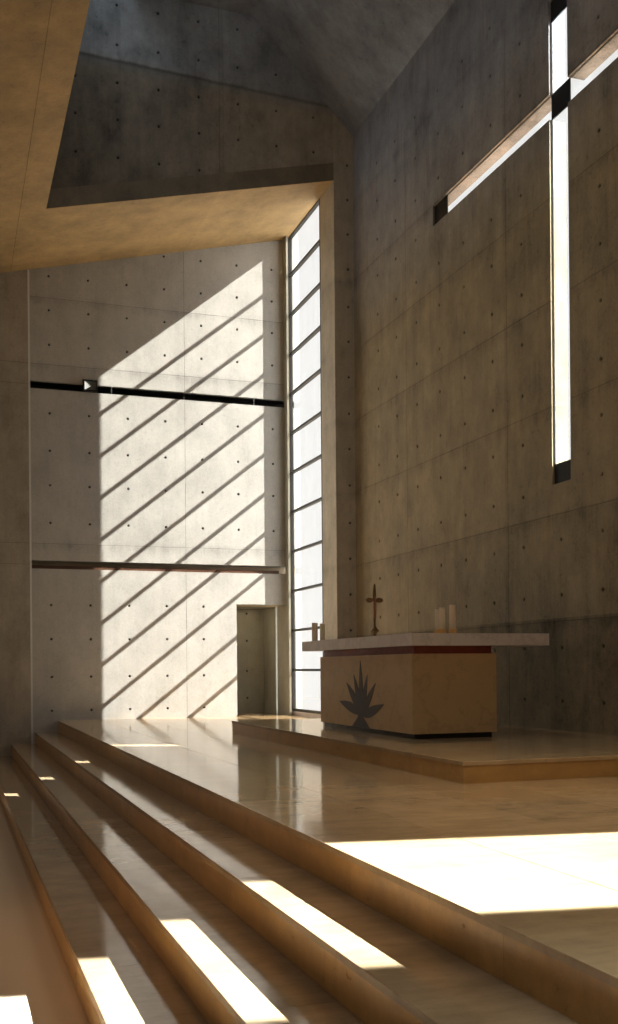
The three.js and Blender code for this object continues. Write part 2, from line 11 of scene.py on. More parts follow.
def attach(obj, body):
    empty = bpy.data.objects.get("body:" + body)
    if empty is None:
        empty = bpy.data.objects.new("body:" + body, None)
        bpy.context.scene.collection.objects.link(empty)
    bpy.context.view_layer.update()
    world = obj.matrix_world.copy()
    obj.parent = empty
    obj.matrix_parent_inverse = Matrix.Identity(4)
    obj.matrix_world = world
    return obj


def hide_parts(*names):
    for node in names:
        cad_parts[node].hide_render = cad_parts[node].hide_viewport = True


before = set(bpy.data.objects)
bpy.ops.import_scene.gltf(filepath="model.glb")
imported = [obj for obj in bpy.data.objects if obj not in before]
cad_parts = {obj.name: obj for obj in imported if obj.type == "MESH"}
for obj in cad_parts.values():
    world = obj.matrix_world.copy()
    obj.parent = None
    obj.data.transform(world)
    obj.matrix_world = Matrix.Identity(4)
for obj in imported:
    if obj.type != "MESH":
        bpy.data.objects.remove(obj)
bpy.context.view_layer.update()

# Lengths are millimetres from the corner where the platform's edge meets the north
# wall; X runs east to the altar wall, Y north and Z up from the nave floor.
ORIGIN = np.array((1455.5, -7125.0, 0.0))

# Steps, platform, dais and altar
RISER_H, GOING, NOSING, FACING_T, PAVING_T = 186, 377, 6, 25, 30
PLATFORM_Z, SOUTH_Y = 4 * RISER_H, -15900
SLAB_LENGTH, SLAB_WIDTH = 1380, 690
DAIS_X, DAIS_Y, DAIS_Z = 1786, (-10998, -4518), PLATFORM_Z + 160
ALTAR_TOP_Z = 1910

# North wall, its slots and lamp, and the passage behind its doorway
WEST_END_X, STRIP_WEST_X, STRIP_EAST_X, NORTH_EAST_X = -1714, -439, -409, 4296
LEAF_T, NORTH_T = 300, 640
LOWER_SLOT, UPPER_SLOT = (3274, 3414), (6264, 6394)
LAMP_X, LAMP_Z, LAMP_PROUD = (445, 685), (6268, 6461), 60
DOOR_X, DOOR_HEAD_Z, PASSAGE_LENGTH, PASSAGE_T = (3090, 4003), 2724, 1400, 250

# Window, pier and altar wall with its cross
WINDOW_X, WINDOW_JAMB_Y, WINDOW_FRAME_T, PIER_T = 4094, -1728, 72, 250
ALTAR_WALL_X, ALTAR_T, GLASS_RECESS = 4425, 200, 40
ALTAR_OUT_X = ALTAR_WALL_X + ALTAR_T
CROSS_Y, CROSS_HALF_W, CROSS_ARM = -8223, 175, 3010
CROSS_ARM_Z, CROSS_FOOT_Z, CROSS_TOP_Z = (7459, 7729), 3534, 8724

# Soffit, light well and roof
SOFFIT_Z, SOFFIT_RISE, SOFFIT_T = 8322, 0.2386, 280
WELL_Y, WELL_T, WELL_WEST_X, WELL_WEST_T = -2364, 300, -339, 250
ROOF_Z, ROOF_FALL, ROOF_T, ROOF_BEND_X, ROOF_LIGHT_X = 11644, 0.97188, 250, 2789, 886
ALTAR_SOUTH_Y, TOP_JOINT_Z = 2 * CROSS_Y - WELL_Y, 9000

# Pour joints: the heights of the level ones and the places of the upright ones
NORTH_JOINTS, NORTH_BAY = (3694, 6674, 7784), (2188,)
WEST_END_JOINTS = (3344, 3694, 6329, 6674)
SLOT_EDGES = (*LOWER_SLOT, *UPPER_SLOT)
ALTAR_JOINTS = (2065, 3205, 4375, 5510, 6620, 7744)
ALTAR_BAYS = (-4331, -7109, -9886, -12663)
SOFFIT_BAYS, WELL_BAYS = (-710, 2200), (697, 2244)

# Tie holes and the grid lines across them, V joints, eased edges, how close two grid lines
# may lie, and the room that walls leave where they meet a slab
TIE_R, TIE_DEPTH, TIE_MARGIN = 22, 26, 45
TIE_LINES = np.array((-1.2, -0.85, -0.45, 0, 0.45, 0.85, 1.2)) * TIE_R
JOINT_HALF, JOINT_DEPTH = 5.0, 4.0
PAVING_JOINT_HALF, PAVING_JOINT_DEPTH, ARRIS_R = 2.5, 3.0, 3
RISER_JOINT_HALF, RISER_JOINT_DEPTH = 1.0, 1.5
SAME_LINE, BED = 0.05, 0.3


def soffit_at(x):
    """Height of the soffit's underside, which rises evenly to the east."""
    return SOFFIT_Z + SOFFIT_RISE * x


def roof_at(x):
    """Height of the roof's underside: level, then falling evenly east of its bend."""
    return np.where(x < ROOF_BEND_X, ROOF_Z, ROOF_Z - ROOF_FALL * (x - ROOF_BEND_X))


def under_soffit(x):
    """Where the north wall's head stops, just short of the soffit."""
    return soffit_at(x) - BED


def over_slab(x):
    """Where the well's walls stand, just clear of the soffit slab's back."""
    return soffit_at(x) + SOFFIT_T + BED


def under_roof(x):
    """Where the heads of the walls stop, just short of the roof."""
    return roof_at(x) - BED


def metres(points):
    """The same points in metres from the model's own origin: (point - origin) / 1000."""
    return (np.asarray(points, float) - ORIGIN) / 1000


# Meshes

def make_piece(name, points, faces, finish, slot, replaces, marks=None, smooth=False):
    """A mesh object from points (millimetres) and faces; marks are numbers kept per point."""
    mesh = bpy.data.meshes.new(name)
    mesh.from_pydata(metres(points).tolist(), [], [list(map(int, face)) for face in faces])
    for mark, values in (marks or {}).items():
        mesh.attributes.new(mark, "FLOAT", "POINT").data.foreach_set(
            "value", np.asarray(values, np.float32).ravel())
    work = bmesh.new()
    work.from_mesh(mesh)
    bmesh.ops.delete(work, geom=[v for v in work.verts if not v.link_faces], context="VERTS")
    bmesh.ops.remove_doubles(work, verts=work.verts, dist=2e-6)
    bmesh.ops.recalc_face_normals(work, faces=work.faces)
    work.to_mesh(mesh)
    work.free()
    if smooth:
        mesh.shade_smooth()
    else:
        mesh.shade_flat()
    mesh.materials.append(finish)
    piece = bpy.data.objects.new(name, mesh)
    bpy.context.scene.collection.objects.link(piece)
    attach(piece, "root")
    if replaces:
        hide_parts(*replaces)


def lines_at(edges, holes=(), joints=(), half=JOINT_HALF):
    """Grid lines at every edge, across every tie hole and across every joint."""
    parts = [np.asarray(edges, float)]
    if len(holes):
        parts.append((np.unique(holes)[:, None] + TIE_LINES).ravel())
    if len(joints):
        parts.append((np.asarray(joints, float)[:, None] + (-half, 0, half)).ravel())
    merged = np.unique(np.concatenate(parts))
    merged = merged[(merged >= min(edges)) & (merged <= max(edges))]
    return merged[np.concatenate(([True], np.diff(merged) > SAME_LINE))]


def tie_dents(a, b, holes):
    """Depth of the tie holes: a cone with a flat bottom, (R - r) / 0.3 R, at each centre."""
    if not len(holes):
        return np.zeros(a.shape), np.zeros(a.shape)
    centres = np.asarray(holes, float)
    reach = np.hypot(a[..., None] - centres[:, 0], b[..., None] - centres[:, 1]).min(-1)
    inside = np.clip((TIE_R - reach) / (0.3 * TIE_R), 0, 1)
    return TIE_DEPTH * inside, inside


def joint_dents(value, joints, half=JOINT_HALF, depth=JOINT_DEPTH):
    """Depth of V grooves along the joints: depth (1 - distance / half)."""
    if not len(joints):
        return np.zeros(value.shape)
    distance = np.abs(value[..., None] - np.asarray(joints, float)).min(-1)
    return depth * np.clip(1 - distance / half, 0, 1)


def slab(across, up, thick, lay, keep=None, dents=None, foot=None, head=None, both=True):
    """A closed slab over a grid of across x up lines. Its front at lay(a, b, dents) and its
    back at lay(a, b, thick - dents) are joined round every edge of the kept cells; foot(a)
    and head(a) squeeze the grid onto a sloping lower or upper edge. Unless both is set, the
    back stays plain."""
    a, b = np.meshgrid(across, up, indexing="ij")
    if head is not None:
        b = np.minimum(b, head(a))
    if foot is not None:
        b = np.maximum(b, foot(a))
    depth = dents(a, b) if dents is not None else np.zeros(a.shape)
    back = thick - (depth if both else 0 * depth)
    points = np.concatenate([
        np.stack(lay(a, b, depth), -1).reshape(-1, 3),
        np.stack(lay(a, b, back), -1).reshape(-1, 3)])
    n, m = a.shape
    index = np.arange(n * m).reshape(n, m)
    middle_a = (a[:-1, :-1] + a[1:, 1:]) / 2
    middle_b = (np.asarray(up)[:-1] + np.asarray(up)[1:])[None, :] / 2 + 0 * middle_a
    kept = np.ones(middle_a.shape, bool) if keep is None else keep(middle_a, middle_b)
    front = np.stack([index[:-1, :-1], index[1:, :-1], index[1:, 1:], index[:-1, 1:]], -1)[kept]
    sides = []
    wide = np.pad(kept, 1)
    across_edge = wide[1:, 1:-1] != wide[:-1, 1:-1]
    up_edge = wide[1:-1, 1:] != wide[1:-1, :-1]
    for start, end, edge in (
            (index[:, :-1], index[:, 1:], across_edge), (index[:-1, :], index[1:, :], up_edge)):
        s, e = start[edge], end[edge]
        sides.append(np.stack([s, e, e + n * m, s + n * m], -1))
    faces = np.concatenate([front, front[:, ::-1] + n * m] + sides)
    return points, faces, (a, b)


def joined(*shells):
    """Several (points, faces, grid) shells as one list of points and faces."""
    points, faces, start = [], [], 0
    for shell in shells:
        points.append(shell[0])
        faces.append(shell[1] + start)
        start += len(shell[0])
    return np.concatenate(points), np.concatenate(faces)


def facing_south(y):
    """A face in the plane Y = y, with depth growing to the north."""
    return lambda a, b, c: (a, y + c, b + 0 * a)


def facing_west(x):
    """A face in the plane X = x, with depth growing to the east."""
    return lambda a, b, c: (x + c, a, b)


def facing_up(z):
    """A face in the plane Z = z, with depth growing down."""
    return lambda a, b, c: (a, b, z - c)


def under_slope(a, b, c):
    """The soffit's underside: the height is its slope's at a, and depth grows up from it."""
    return a, b, soffit_at(a) + c


def cast_wall(name, across, up, thick, lay, finish, holes=(), joints_a=(), joints_b=(),
              keep=None, foot=None, head=None, extra=()):
    """A wall leaf with its tie holes and pour joints cut into both faces, and extra plain
    shells joined to it. It takes the place of the CAD node of the same name."""
    holes = np.asarray(holes, float).reshape(-1, 2)
    grid_a = lines_at(across, holes[:, 0], joints_a)
    grid_b = lines_at(up, holes[:, 1], joints_b)

    def dents(a, b):
        return np.maximum.reduce([
            tie_dents(a, b, holes)[0], joint_dents(a, joints_a), joint_dents(b, joints_b)])

    shell = slab(grid_a, grid_b, thick, lay, keep, dents, foot, head)
    a, b = shell[2]
    shade = np.maximum(tie_dents(a, b, holes)[1], 0.65 * np.maximum(
        joint_dents(a, joints_a, depth=1), joint_dents(b, joints_b, depth=1)))
    marks = {"recess": np.concatenate([shade.ravel(), shade.ravel()])}
    points, faces = shell[0], shell[1]
    for more in extra:
        marks["recess"] = np.concatenate([marks["recess"], np.zeros(len(more[0]))])
        points, faces = joined((points, faces), more)
    make_piece(name + "_cast", points, faces, finish, "concrete", [name], marks)


FLUTES = 16


def turned(profile, centre, sides=48, flute=0.0):
    """A profile of (radius, height) pairs turned about an upright axis through centre; the
    radius swells and shrinks by the share flute, in waves round the axis."""
    r, h = np.asarray(profile, float).T
    angle = np.linspace(0, 2 * np.pi, sides, endpoint=False)
    wave = 1 + flute * np.cos(FLUTES * angle)[:, None]
    x = centre[0] + r * wave * np.cos(angle)[:, None]
    y = centre[1] + r * wave * np.sin(angle)[:, None]
    z = centre[2] + h + 0 * angle[:, None]
    points = np.stack([x, y, z], -1).reshape(-1, 3)
    index = np.arange(len(points)).reshape(sides, -1)
    after = np.roll(index, -1, 0)
    faces = np.stack([index[:, :-1], after[:, :-1], after[:, 1:], index[:, 1:]], -1)
    return points, faces.reshape(-1, 4)


# Finishes

def maths(operation, swapped=False):
    """An operator that adds one Math node; swapped puts the other value first."""
    def apply(self, other=0.0):
        first, second = (other, self) if swapped else (self, other)
        return self.math(operation, first, second)
    return apply


class Value:
    """A node's socket; arithmetic on it adds Math nodes."""

    def __init__(self, finish, socket):
        self.finish, self.socket = finish, socket

    def math(self, operation, first, second=0.0):
        return self.finish.node(
            "ShaderNodeMath", {"operation": operation}, {0: first, 1: second})

    __add__, __radd__ = maths("ADD"), maths("ADD", True)
    __sub__, __rsub__ = maths("SUBTRACT"), maths("SUBTRACT", True)
    __mul__, __rmul__ = maths("MULTIPLY"), maths("MULTIPLY", True)
    __truediv__, __pow__, __abs__ = maths("DIVIDE"), maths("POWER"), maths("ABSOLUTE")

    def clamped(self):
        """The value kept between 0 and 1."""
        return self.math("MAXIMUM", self.math("MINIMUM", self, 1.0), 0.0)


class Finish:
    """A material built from one Principled shader."""

    def __init__(self, name, **constants):
        self.material = bpy.data.materials.new(name)
        self.material.use_nodes = True
        self.tree = self.material.node_tree
        self.shader = self.tree.nodes["Principled BSDF"]
        for socket, value in constants.items():
            self.shader.inputs[socket.replace("_", " ")].default_value = value
        self.where = self.node("ShaderNodeTexCoord", {}, {}, "Object")

    def node(self, kind, settings, sockets, output=0):
        """A node of this kind: its settings come first, then the numbers or links of its
        sockets. A ramp's stops are (position, grey) pairs."""
        made = self.tree.nodes.new(kind)
        for key, value in settings.items():
            if key == "stops":
                ramp = made.color_ramp
                while len(ramp.elements) < len(value):
                    ramp.elements.new(0.5)
                for element, (position, grey) in zip(ramp.elements, value):
                    element.position = position
                for element, (position, grey) in zip(ramp.elements, value):
                    element.color = (grey, grey, grey, 1)
            elif key == "interpolation":
                made.color_ramp.interpolation = value
            else:
                setattr(made, key, value)
        for key, value in sockets.items():
            if isinstance(value, Value):
                self.tree.links.new(value.socket, made.inputs[key])
            else:
                made.inputs[key].default_value = value
        return Value(self, made.outputs[output])

    def axes(self):
        """The three object coordinates, in metres."""
        return [self.node("ShaderNodeSeparateXYZ", {}, {0: self.where}, i) for i in range(3)]

    def noise(self, scale, stretch=(1, 1, 1), turn=(0, 0, 0), detail=3.0, rough=0.55, shift=0.0):
        """Noise of about scale lumps a metre; stretch packs it closer along an axis, and turn
        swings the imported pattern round."""
        placed = self.node("ShaderNodeMapping", {}, {
            "Vector": self.where, "Location": (shift, shift, shift), "Rotation": turn,
            "Scale": tuple(scale * s for s in stretch)})
        return self.node("ShaderNodeTexNoise", {}, {
            "Vector": placed, "Scale": 1.0, "Detail": detail, "Roughness": rough}, "Fac")

    def steps(self, factor, stops, interpolation="CONSTANT"):
        """A grey number that changes at each stop."""
        ramp = self.node("ShaderNodeValToRGB", {"interpolation": interpolation, "stops": stops},
                         {"Fac": factor}, "Color")
        return self.node("ShaderNodeSeparateColor", {}, {0: ramp}, 0)

    def mix(self, factor, first, second):
        """A colour that goes from first to second as factor goes from 0 to 1."""
        return self.node("ShaderNodeMix", {"data_type": "RGBA"},
                         {0: factor, 6: first, 7: second}, 2)

    def scaled(self, colour, factor):
        """A colour times a number."""
        return self.node("ShaderNodeVectorMath", {"operation": "SCALE"},
                         {0: colour, "Scale": factor})

    def mark(self, name):
        """The number that a piece keeps per point under this name, or 0 where it has none."""
        return self.node("ShaderNodeAttribute", {"attribute_name": name}, {}, "Fac")

    def colour(self, value):
        self.set("Base Color", value)

    def set(self, socket, value):
        """A constant, or a value that varies, on one of the shader's sockets."""
        if isinstance(value, Value):
            self.tree.links.new(value.socket, self.shader.inputs[socket])
        else:
            self.shader.inputs[socket].default_value = value

    def bump(self, height, distance, strength=0.5):
        """Fine relief, height times distance in metres, softened by strength."""
        self.set("Normal", self.node("ShaderNodeBump", {}, {
            "Height": height, "Distance": distance, "Strength": strength}, "Normal"))


def rgb(red, green, blue):
    """A colour in linear light."""
    return (red, green, blue, 1.0)


# Tones of pours run over heights from 0 to TONE_TOP and along walls from -TONE_END to
# TONE_END, all in metres.
TONE_TOP, TONE_END = 12.5, 10


def tone_stops(edges, low, high, tones):
    """Constant stops between the edges, over low to high; half grey is the plain tone."""
    places = [0.0] + [(edge - low) / (high - low) for edge in edges]
    return [(place, 0.5 + tone) for place, tone in zip(places, tones)]


def band_stops(heights):
    """Stops of a dark band that fades out 160 below each pour joint and 40 above it."""
    stops = [(0.0, 0.0)]
    for height in sorted(heights):
        stops += [((height + away) / 1000 / TONE_TOP, grey)
                  for away, grey in ((-160, 0.0), (-8, 1.0), (8, 0.5), (40, 0.0))]
    return stops


def concrete(name, colour, dark, lifts=(), lift_tones=(), bays=(), bay_tones=(), axis=0,
             streak=0.25, mottle=0.5, line=None, rust=0.0, fade=None):
    """Board-smooth cast concrete: cloudy tone, runs down the face, rust in some of them, a
    tone of its own for each pour and bay, painted shade in the tie holes, darker joints, fine
    pits. line is the height of a painted shadow line and its fall to the east, with painted
    shade under it, deepest to the west. fade is another colour that it turns to between two
    heights: low, high, their rise to the east and the colour; it paints light in, a cool top lit
    from above or a slab's shaded sides. Both heights are given at the middle, in metres."""
    f = Finish(name)
    x, y, z = f.axes()
    cloud = f.noise(0.9, detail=6, rough=0.6, shift=len(name))
    patch = f.noise(2.6, stretch=(1, 1, 0.7), detail=7, rough=0.7, shift=2.7)
    grain = f.noise(46, detail=2)
    runs = f.noise(1, stretch=(5, 5, 0.6), detail=6, rough=0.65, shift=5.1)
    thin_runs = f.noise(1, stretch=(24, 24, 0.9), detail=4, shift=8.3)
    speck = ((f.noise(13, detail=3, rough=0.6, shift=6.2) - 0.58) * 6).clamped()
    tone = 0.95 + mottle * (cloud - 0.5) + mottle * (patch - 0.5) + 0.3 * (grain - 0.5)
    tone = tone - 0.16 * mottle * speck
    tone = tone - streak * ((runs - 0.5) * 2).clamped() - 0.6 * streak * (thin_runs - 0.5)
    if len(lifts):
        edges = sorted(height / 1000 for height in lifts)
        stops = tone_stops(edges, 0, TONE_TOP, lift_tones)
        tone = tone + (f.steps(z / TONE_TOP, stops) - 0.5)
        poured = band_stops([height for height in lifts if height not in SLOT_EDGES])
        band = f.steps(z / TONE_TOP, poured, "LINEAR")
        tone = tone - 0.3 * band * ((runs - 0.3) * 2.5).clamped()
    if len(bays):
        edges = sorted(metres((place, place, 0))[axis] for place in bays)
        along = ((x, y)[axis] + TONE_END) / (2 * TONE_END)
        tone = tone + (f.steps(along, tone_stops(edges, -TONE_END, TONE_END, bay_tones)) - 0.5)
    if line is not None:
        height, fall = line
        above = z - (height - fall * x) + 0.05 * (patch - 0.5)
        # Painted shadow along the line, and painted shade under it that deepens to the west.
        tone = tone * (1 - 0.45 * (1 - abs(above) * 22).clamped())
        tone = tone * (1 - 0.38 * (1 - above * 30).clamped() * (0.9 - 0.6 * x).clamped())
    # Painted shade in the tie holes; the joints are darker too.
    tone = tone * (1 - 0.93 * f.mark("recess"))
    warm = f.mix((1.6 * cloud - 0.3).clamped(), colour, dark)
    # The fade paints light or shade in by height.
    if fade is not None:
        low, high, rise, turned_to = fade
        warm = f.mix(((z - rise * x - low) / (high - low)).clamped(), warm, turned_to)
    if rust:
        stained = ((thin_runs - 0.5) * 5).clamped() * ((patch - 0.45) * 5).clamped()
        warm = f.mix(rust * stained, warm, rgb(0.40, 0.24, 0.10))
    f.colour(f.scaled(warm, tone))
    f.set("Roughness", 0.72 + 0.2 * (patch - 0.5))
    f.bump(grain + 0.6 * patch + 0.4 * thin_runs, 0.0012, 0.5)
    return f.material


def paving_stone(name, light, deep, roughness):
    """Polished beige stone with long soft veins, each slab of its own tone; the polish is
    very slightly rippled, so reflections break up. The sawn front edge is duller, darker."""
    f = Finish(name)
    drift = f.noise(1.0, stretch=(1.2, 3.2, 3.2), turn=(0, 0, 0.5), detail=7, rough=0.66)
    veins = f.noise(1.0, stretch=(3.5, 15, 15), turn=(0, 0, 0.5), detail=6, rough=0.72, shift=3)
    cloud = f.noise(3.4, detail=6, rough=0.65, shift=9)
    grain = f.noise(120, detail=2)
    base = f.mix((drift * 1.6 - 0.3).clamped(), light, deep)
    tone = 0.92 + 0.5 * (veins - 0.5) + 0.7 * (cloud - 0.5) + 0.1 * (grain - 0.5)
    tone = tone + 0.12 * f.mark("tone")
    edge = f.mark("edge")
    f.colour(f.scaled(base, tone * (1 - 0.9 * f.mark("recess")) * (1 - 0.2 * edge)))
    f.set("Roughness", roughness + 0.14 * (veins - 0.5) + 0.06 * (cloud - 0.5) + 0.4 * edge)
    ripple = f.noise(1.0, stretch=(4.0, 9.0, 9.0), turn=(0, 0, 0.1), detail=4, shift=1.4)
    f.bump(ripple, 0.0018, 0.35)
    return f.material


def plain_stone(name, light, deep, roughness):
    """Honed or polished block stone: soft clouds, fine grain, thin wandering veins."""
    f = Finish(name)
    cloud = f.noise(3.5, detail=5, rough=0.6)
    grain = f.noise(160, detail=3, rough=0.6, shift=4)
    vein = f.noise(2.2, detail=6, rough=0.7, shift=7)
    thread = (1 - abs(vein - 0.5) * 26).clamped()
    base = f.mix((cloud * 1.5 - 0.25).clamped(), light, deep)
    f.colour(f.scaled(base, 0.95 + 0.25 * (grain - 0.5) - 0.15 * thread))
    f.set("Roughness", roughness + 0.15 * (cloud - 0.5))
    f.bump(grain, 0.0003, 0.4)
    return f.material


def metal(name, colour, worn, roughness, metallic):
    """Painted or bare metal, slightly uneven and rubbed."""
    f = Finish(name, Metallic=metallic)
    rub = f.noise(60, detail=4, rough=0.6)
    broad = f.noise(7, detail=3, shift=3)
    f.colour(f.mix((rub * 0.6 + broad * 0.8 - 0.35).clamped(), colour, worn))
    f.set("Roughness", roughness + 0.2 * (rub - 0.5) + 0.1 * (broad - 0.5))
    f.bump(rub, 0.0002, 0.3)
    return f.material


def pane_glass(name):
    """Clear sheet glass with a faint film of dust; light and sight pass through it."""
    f = Finish(name, IOR=1.5, Roughness=0.04)
    dust = f.noise(5, stretch=(1, 1, 0.4), detail=5)
    f.colour(f.mix(dust, rgb(0.86, 0.9, 0.9), rgb(0.97, 0.98, 0.98)))
    f.set("Alpha", 0.06 + 0.08 * dust)
    return f.material


def candle_wax(name):
    """Ivory wax with faint clouds, which lets a little light in."""
    f = Finish(name, Subsurface_Weight=0.25, Subsurface_Scale=0.01, Roughness=0.42)
    cloud = f.noise(30, stretch=(1, 1, 0.3), detail=3)
    f.colour(f.mix(cloud, rgb(0.87, 0.67, 0.42), rgb(0.94, 0.76, 0.51)))
    f.bump(cloud, 0.0005, 0.3)
    return f.material


# The building's finishes: a light and a dark colour for each concrete and stone, and for
# metals a colour, a rubbed colour, a roughness and how metallic they are
north_concrete = concrete(
    "north_wall_concrete", rgb(0.52, 0.502, 0.455), rgb(0.44, 0.424, 0.38),
    lifts=(*SLOT_EDGES, *NORTH_JOINTS),
    lift_tones=(0.02, 0, 0.03, 0, -0.02, -0.03, 0.02, -0.02), bays=NORTH_BAY,
    bay_tones=(-0.01, 0.01), streak=0.15, mottle=0.6)
west_end_concrete = concrete(
    "west_end_concrete", rgb(0.45, 0.395, 0.31), rgb(0.34, 0.295, 0.23), streak=0.25, mottle=0.9)
# Warm brown, partly painted warm light bounced from the stone floor; towards the top it turns
# blue-grey, painted cool light from the roof light.
altar_concrete = concrete(
    "altar_wall_concrete", rgb(0.445, 0.34, 0.195), rgb(0.305, 0.235, 0.135),
    lifts=(*ALTAR_JOINTS, TOP_JOINT_Z),
    lift_tones=(-0.26, -0.05, 0.02, 0, 0.02, -0.02, 0, -0.02), bays=ALTAR_BAYS,
    bay_tones=(-0.3, -0.26, -0.1, 0.01, 0), axis=1, streak=0.35, mottle=1.2, rust=0.6,
    fade=(6.5, 9.5, 0, rgb(0.33, 0.355, 0.415)))

# The soffit slab is painted golden below, standing for warm light bounced up from the floor,
# and painted darker, as shade, on its cut sides and back, from 3 mm above its underside,
# whose height in metres at the model's middle is this.
UNDERSIDE = soffit_at(ORIGIN[0]) / 1000
soffit_concrete = concrete(
    "soffit_concrete", rgb(0.493, 0.326, 0.138), rgb(0.39, 0.25, 0.102), bays=SOFFIT_BAYS,
    bay_tones=(-0.04, 0, 0.1), streak=0.15, mottle=1.1,
    fade=(UNDERSIDE + 0.003, UNDERSIDE + 0.009, SOFFIT_RISE, rgb(0.2, 0.165, 0.115)))
# Blue-grey: the cool light on the roof's underside, painted in.
roof_concrete = concrete(
    "roof_concrete", rgb(0.36, 0.39, 0.455), rgb(0.235, 0.255, 0.295), streak=0.2, mottle=1.4)
# Painted shadow line across the well wall with painted shade below it, deepening to the west;
# above it the wall turns grey, painted cool light from the roof light.
well_concrete = concrete(
    "light_well_concrete", rgb(0.40, 0.34, 0.26), rgb(0.25, 0.21, 0.16),
    bays=WELL_BAYS, bay_tones=(-0.1, 0, 0.15), streak=0.35, mottle=1.7, line=(10.54, 0.033),
    fade=(10.35, 10.65, -0.033, rgb(0.25, 0.258, 0.267)))
# Paler than the other walls: partly painted light from the sunlit north wall beside it.
pier_concrete = concrete(
    "pier_concrete", rgb(0.57, 0.495, 0.38), rgb(0.44, 0.38, 0.29), lifts=ALTAR_JOINTS,
    lift_tones=(-0.03, 0, 0.03, 0, 0.02, -0.02, 0.01), streak=0.3, mottle=1.0)
passage_concrete = concrete(
    "passage_concrete", rgb(0.40, 0.375, 0.29), rgb(0.29, 0.27, 0.21), streak=0.15, mottle=0.7)
# Paler and warmer than the wall: painted warm light bounced into the slots.
slot_concrete = concrete(
    "slot_back_concrete", rgb(0.74, 0.62, 0.42), rgb(0.62, 0.51, 0.34), streak=0.1, mottle=0.4)
beige_paving = paving_stone(
    "polished_beige_paving", rgb(0.62, 0.425, 0.225), rgb(0.45, 0.295, 0.145), 0.09)
# A darker copy of the beige paving: painted shade on the treads.
tread_stone = paving_stone(
    "polished_tread_stone", rgb(0.48, 0.32, 0.175), rgb(0.33, 0.215, 0.11), 0.09)
# Orange: painted warm bounce light from the sunlit patches; the riser stone itself is beige like
# the paving.
riser_stone = paving_stone(
    "riser_stone", rgb(0.62, 0.35, 0.115), rgb(0.46, 0.25, 0.078), 0.3)
altar_stone = plain_stone(
    "honed_cream_stone", rgb(0.66, 0.44, 0.22), rgb(0.59, 0.39, 0.19), 0.45)
slab_stone = plain_stone(
    "honed_pale_stone", rgb(0.92, 0.79, 0.70), rgb(0.80, 0.69, 0.61), 0.35)
neck_stone = plain_stone(
    "polished_red_stone", rgb(0.3, 0.07, 0.045), rgb(0.17, 0.04, 0.028), 0.25)
plinth_stone = plain_stone(
    "polished_black_stone", rgb(0.02, 0.014, 0.012), rgb(0.01, 0.008, 0.007), 0.25)
inlay_stone = plain_stone(
    "honed_brown_stone", rgb(0.06, 0.036, 0.028), rgb(0.035, 0.022, 0.018), 0.4)
frame_paint = metal(
    "dark_frame_paint", rgb(0.045, 0.045, 0.044), rgb(0.065, 0.064, 0.06), 0.42, 0.2)
# Black for the cross's panels, and painted shade for the sheet in the upper slot.
black_and_slot_shade_paint = metal(
    "black_panel_and_slot_shade_paint", rgb(0.006, 0.006, 0.007), rgb(0.013, 0.013, 0.014), 0.4, 0.1)
strap_paint = metal("grey_strap_paint", rgb(0.2, 0.19, 0.17), rgb(0.13, 0.12, 0.11), 0.5, 0.2)
white_paint = metal("off_white_paint", rgb(0.72, 0.73, 0.7), rgb(0.6, 0.6, 0.56), 0.45, 0.0)
tray_paint = metal("brown_tray_paint", rgb(0.10, 0.05, 0.035), rgb(0.17, 0.09, 0.05), 0.5, 0.1)
brass = metal("candle_brass", rgb(0.98, 0.58, 0.18), rgb(0.85, 0.45, 0.13), 0.34, 0.5)
bronze = metal("aged_bronze", rgb(0.50, 0.33, 0.15), rgb(0.24, 0.16, 0.08), 0.42, 1.0)
red_bronze = metal("red_bronze", rgb(0.62, 0.26, 0.13), rgb(0.36, 0.14, 0.07), 0.42, 0.6)
wax = candle_wax("ivory_wax")
wick = metal("burnt_wick", rgb(0.02, 0.018, 0.015), rgb(0.05, 0.04, 0.03), 0.9, 0.0)
glass = pane_glass("sheet_glass")


# Camera

# The eye stands in the nave and looks level, a little east of north. The frame's long
# side, its height, is 36 mm at the lens. The shift raises the view, so upright lines stay
# upright.
EYE = (WEST_END_X, -17698, 1594)
HEADING, ROLL = math.radians(19.1619), math.radians(-0.4755)
FRAME_LONG_SIDE, LENS, SHIFT_UP = 36.0, 36.41, 0.1519

forward = Vector((math.sin(HEADING), math.cos(HEADING), 0))
level, plumb = Vector((math.cos(HEADING), -math.sin(HEADING), 0)), Vector((0, 0, 1))
right = level * math.cos(ROLL) + plumb * math.sin(ROLL)
upward = plumb * math.cos(ROLL) - level * math.sin(ROLL)
camera_data = bpy.data.cameras.new("photo_view")
camera_data.sensor_width, camera_data.lens = FRAME_LONG_SIDE, LENS
camera_data.shift_y, camera_data.clip_end = SHIFT_UP, 200
camera = bpy.data.objects.new("photo_view", camera_data)
camera.matrix_world = Matrix.Translation(Vector(metres(EYE))) @ Matrix(
    (right, upward, -forward)).transposed().to_4x4()
bpy.context.scene.collection.objects.link(camera)
bpy.context.scene.camera = camera


# North wall, its slots and lamp, and the passage behind its doorway

def grid_of(columns, rows, use=lambda a, b: True):
    """Centres of the tie holes where the columns cross the rows, where use says so."""
    return [(a, b) for a in columns for b in rows if use(a, b)]


NORTH_COLUMNS = (-101, 547, 1195, 1843, 2491, 3139, 3787)
LOWER_ROWS, MIDDLE_ROWS = (2672, 2102, 1472, 909), (5864, 5241, 4668, 4039)
UPPER_ROWS, PASSAGE_ROWS = (8715, 8148, 7581, 7005), (2634, 2115, 1538, 1022)
wall_face = facing_south(0)

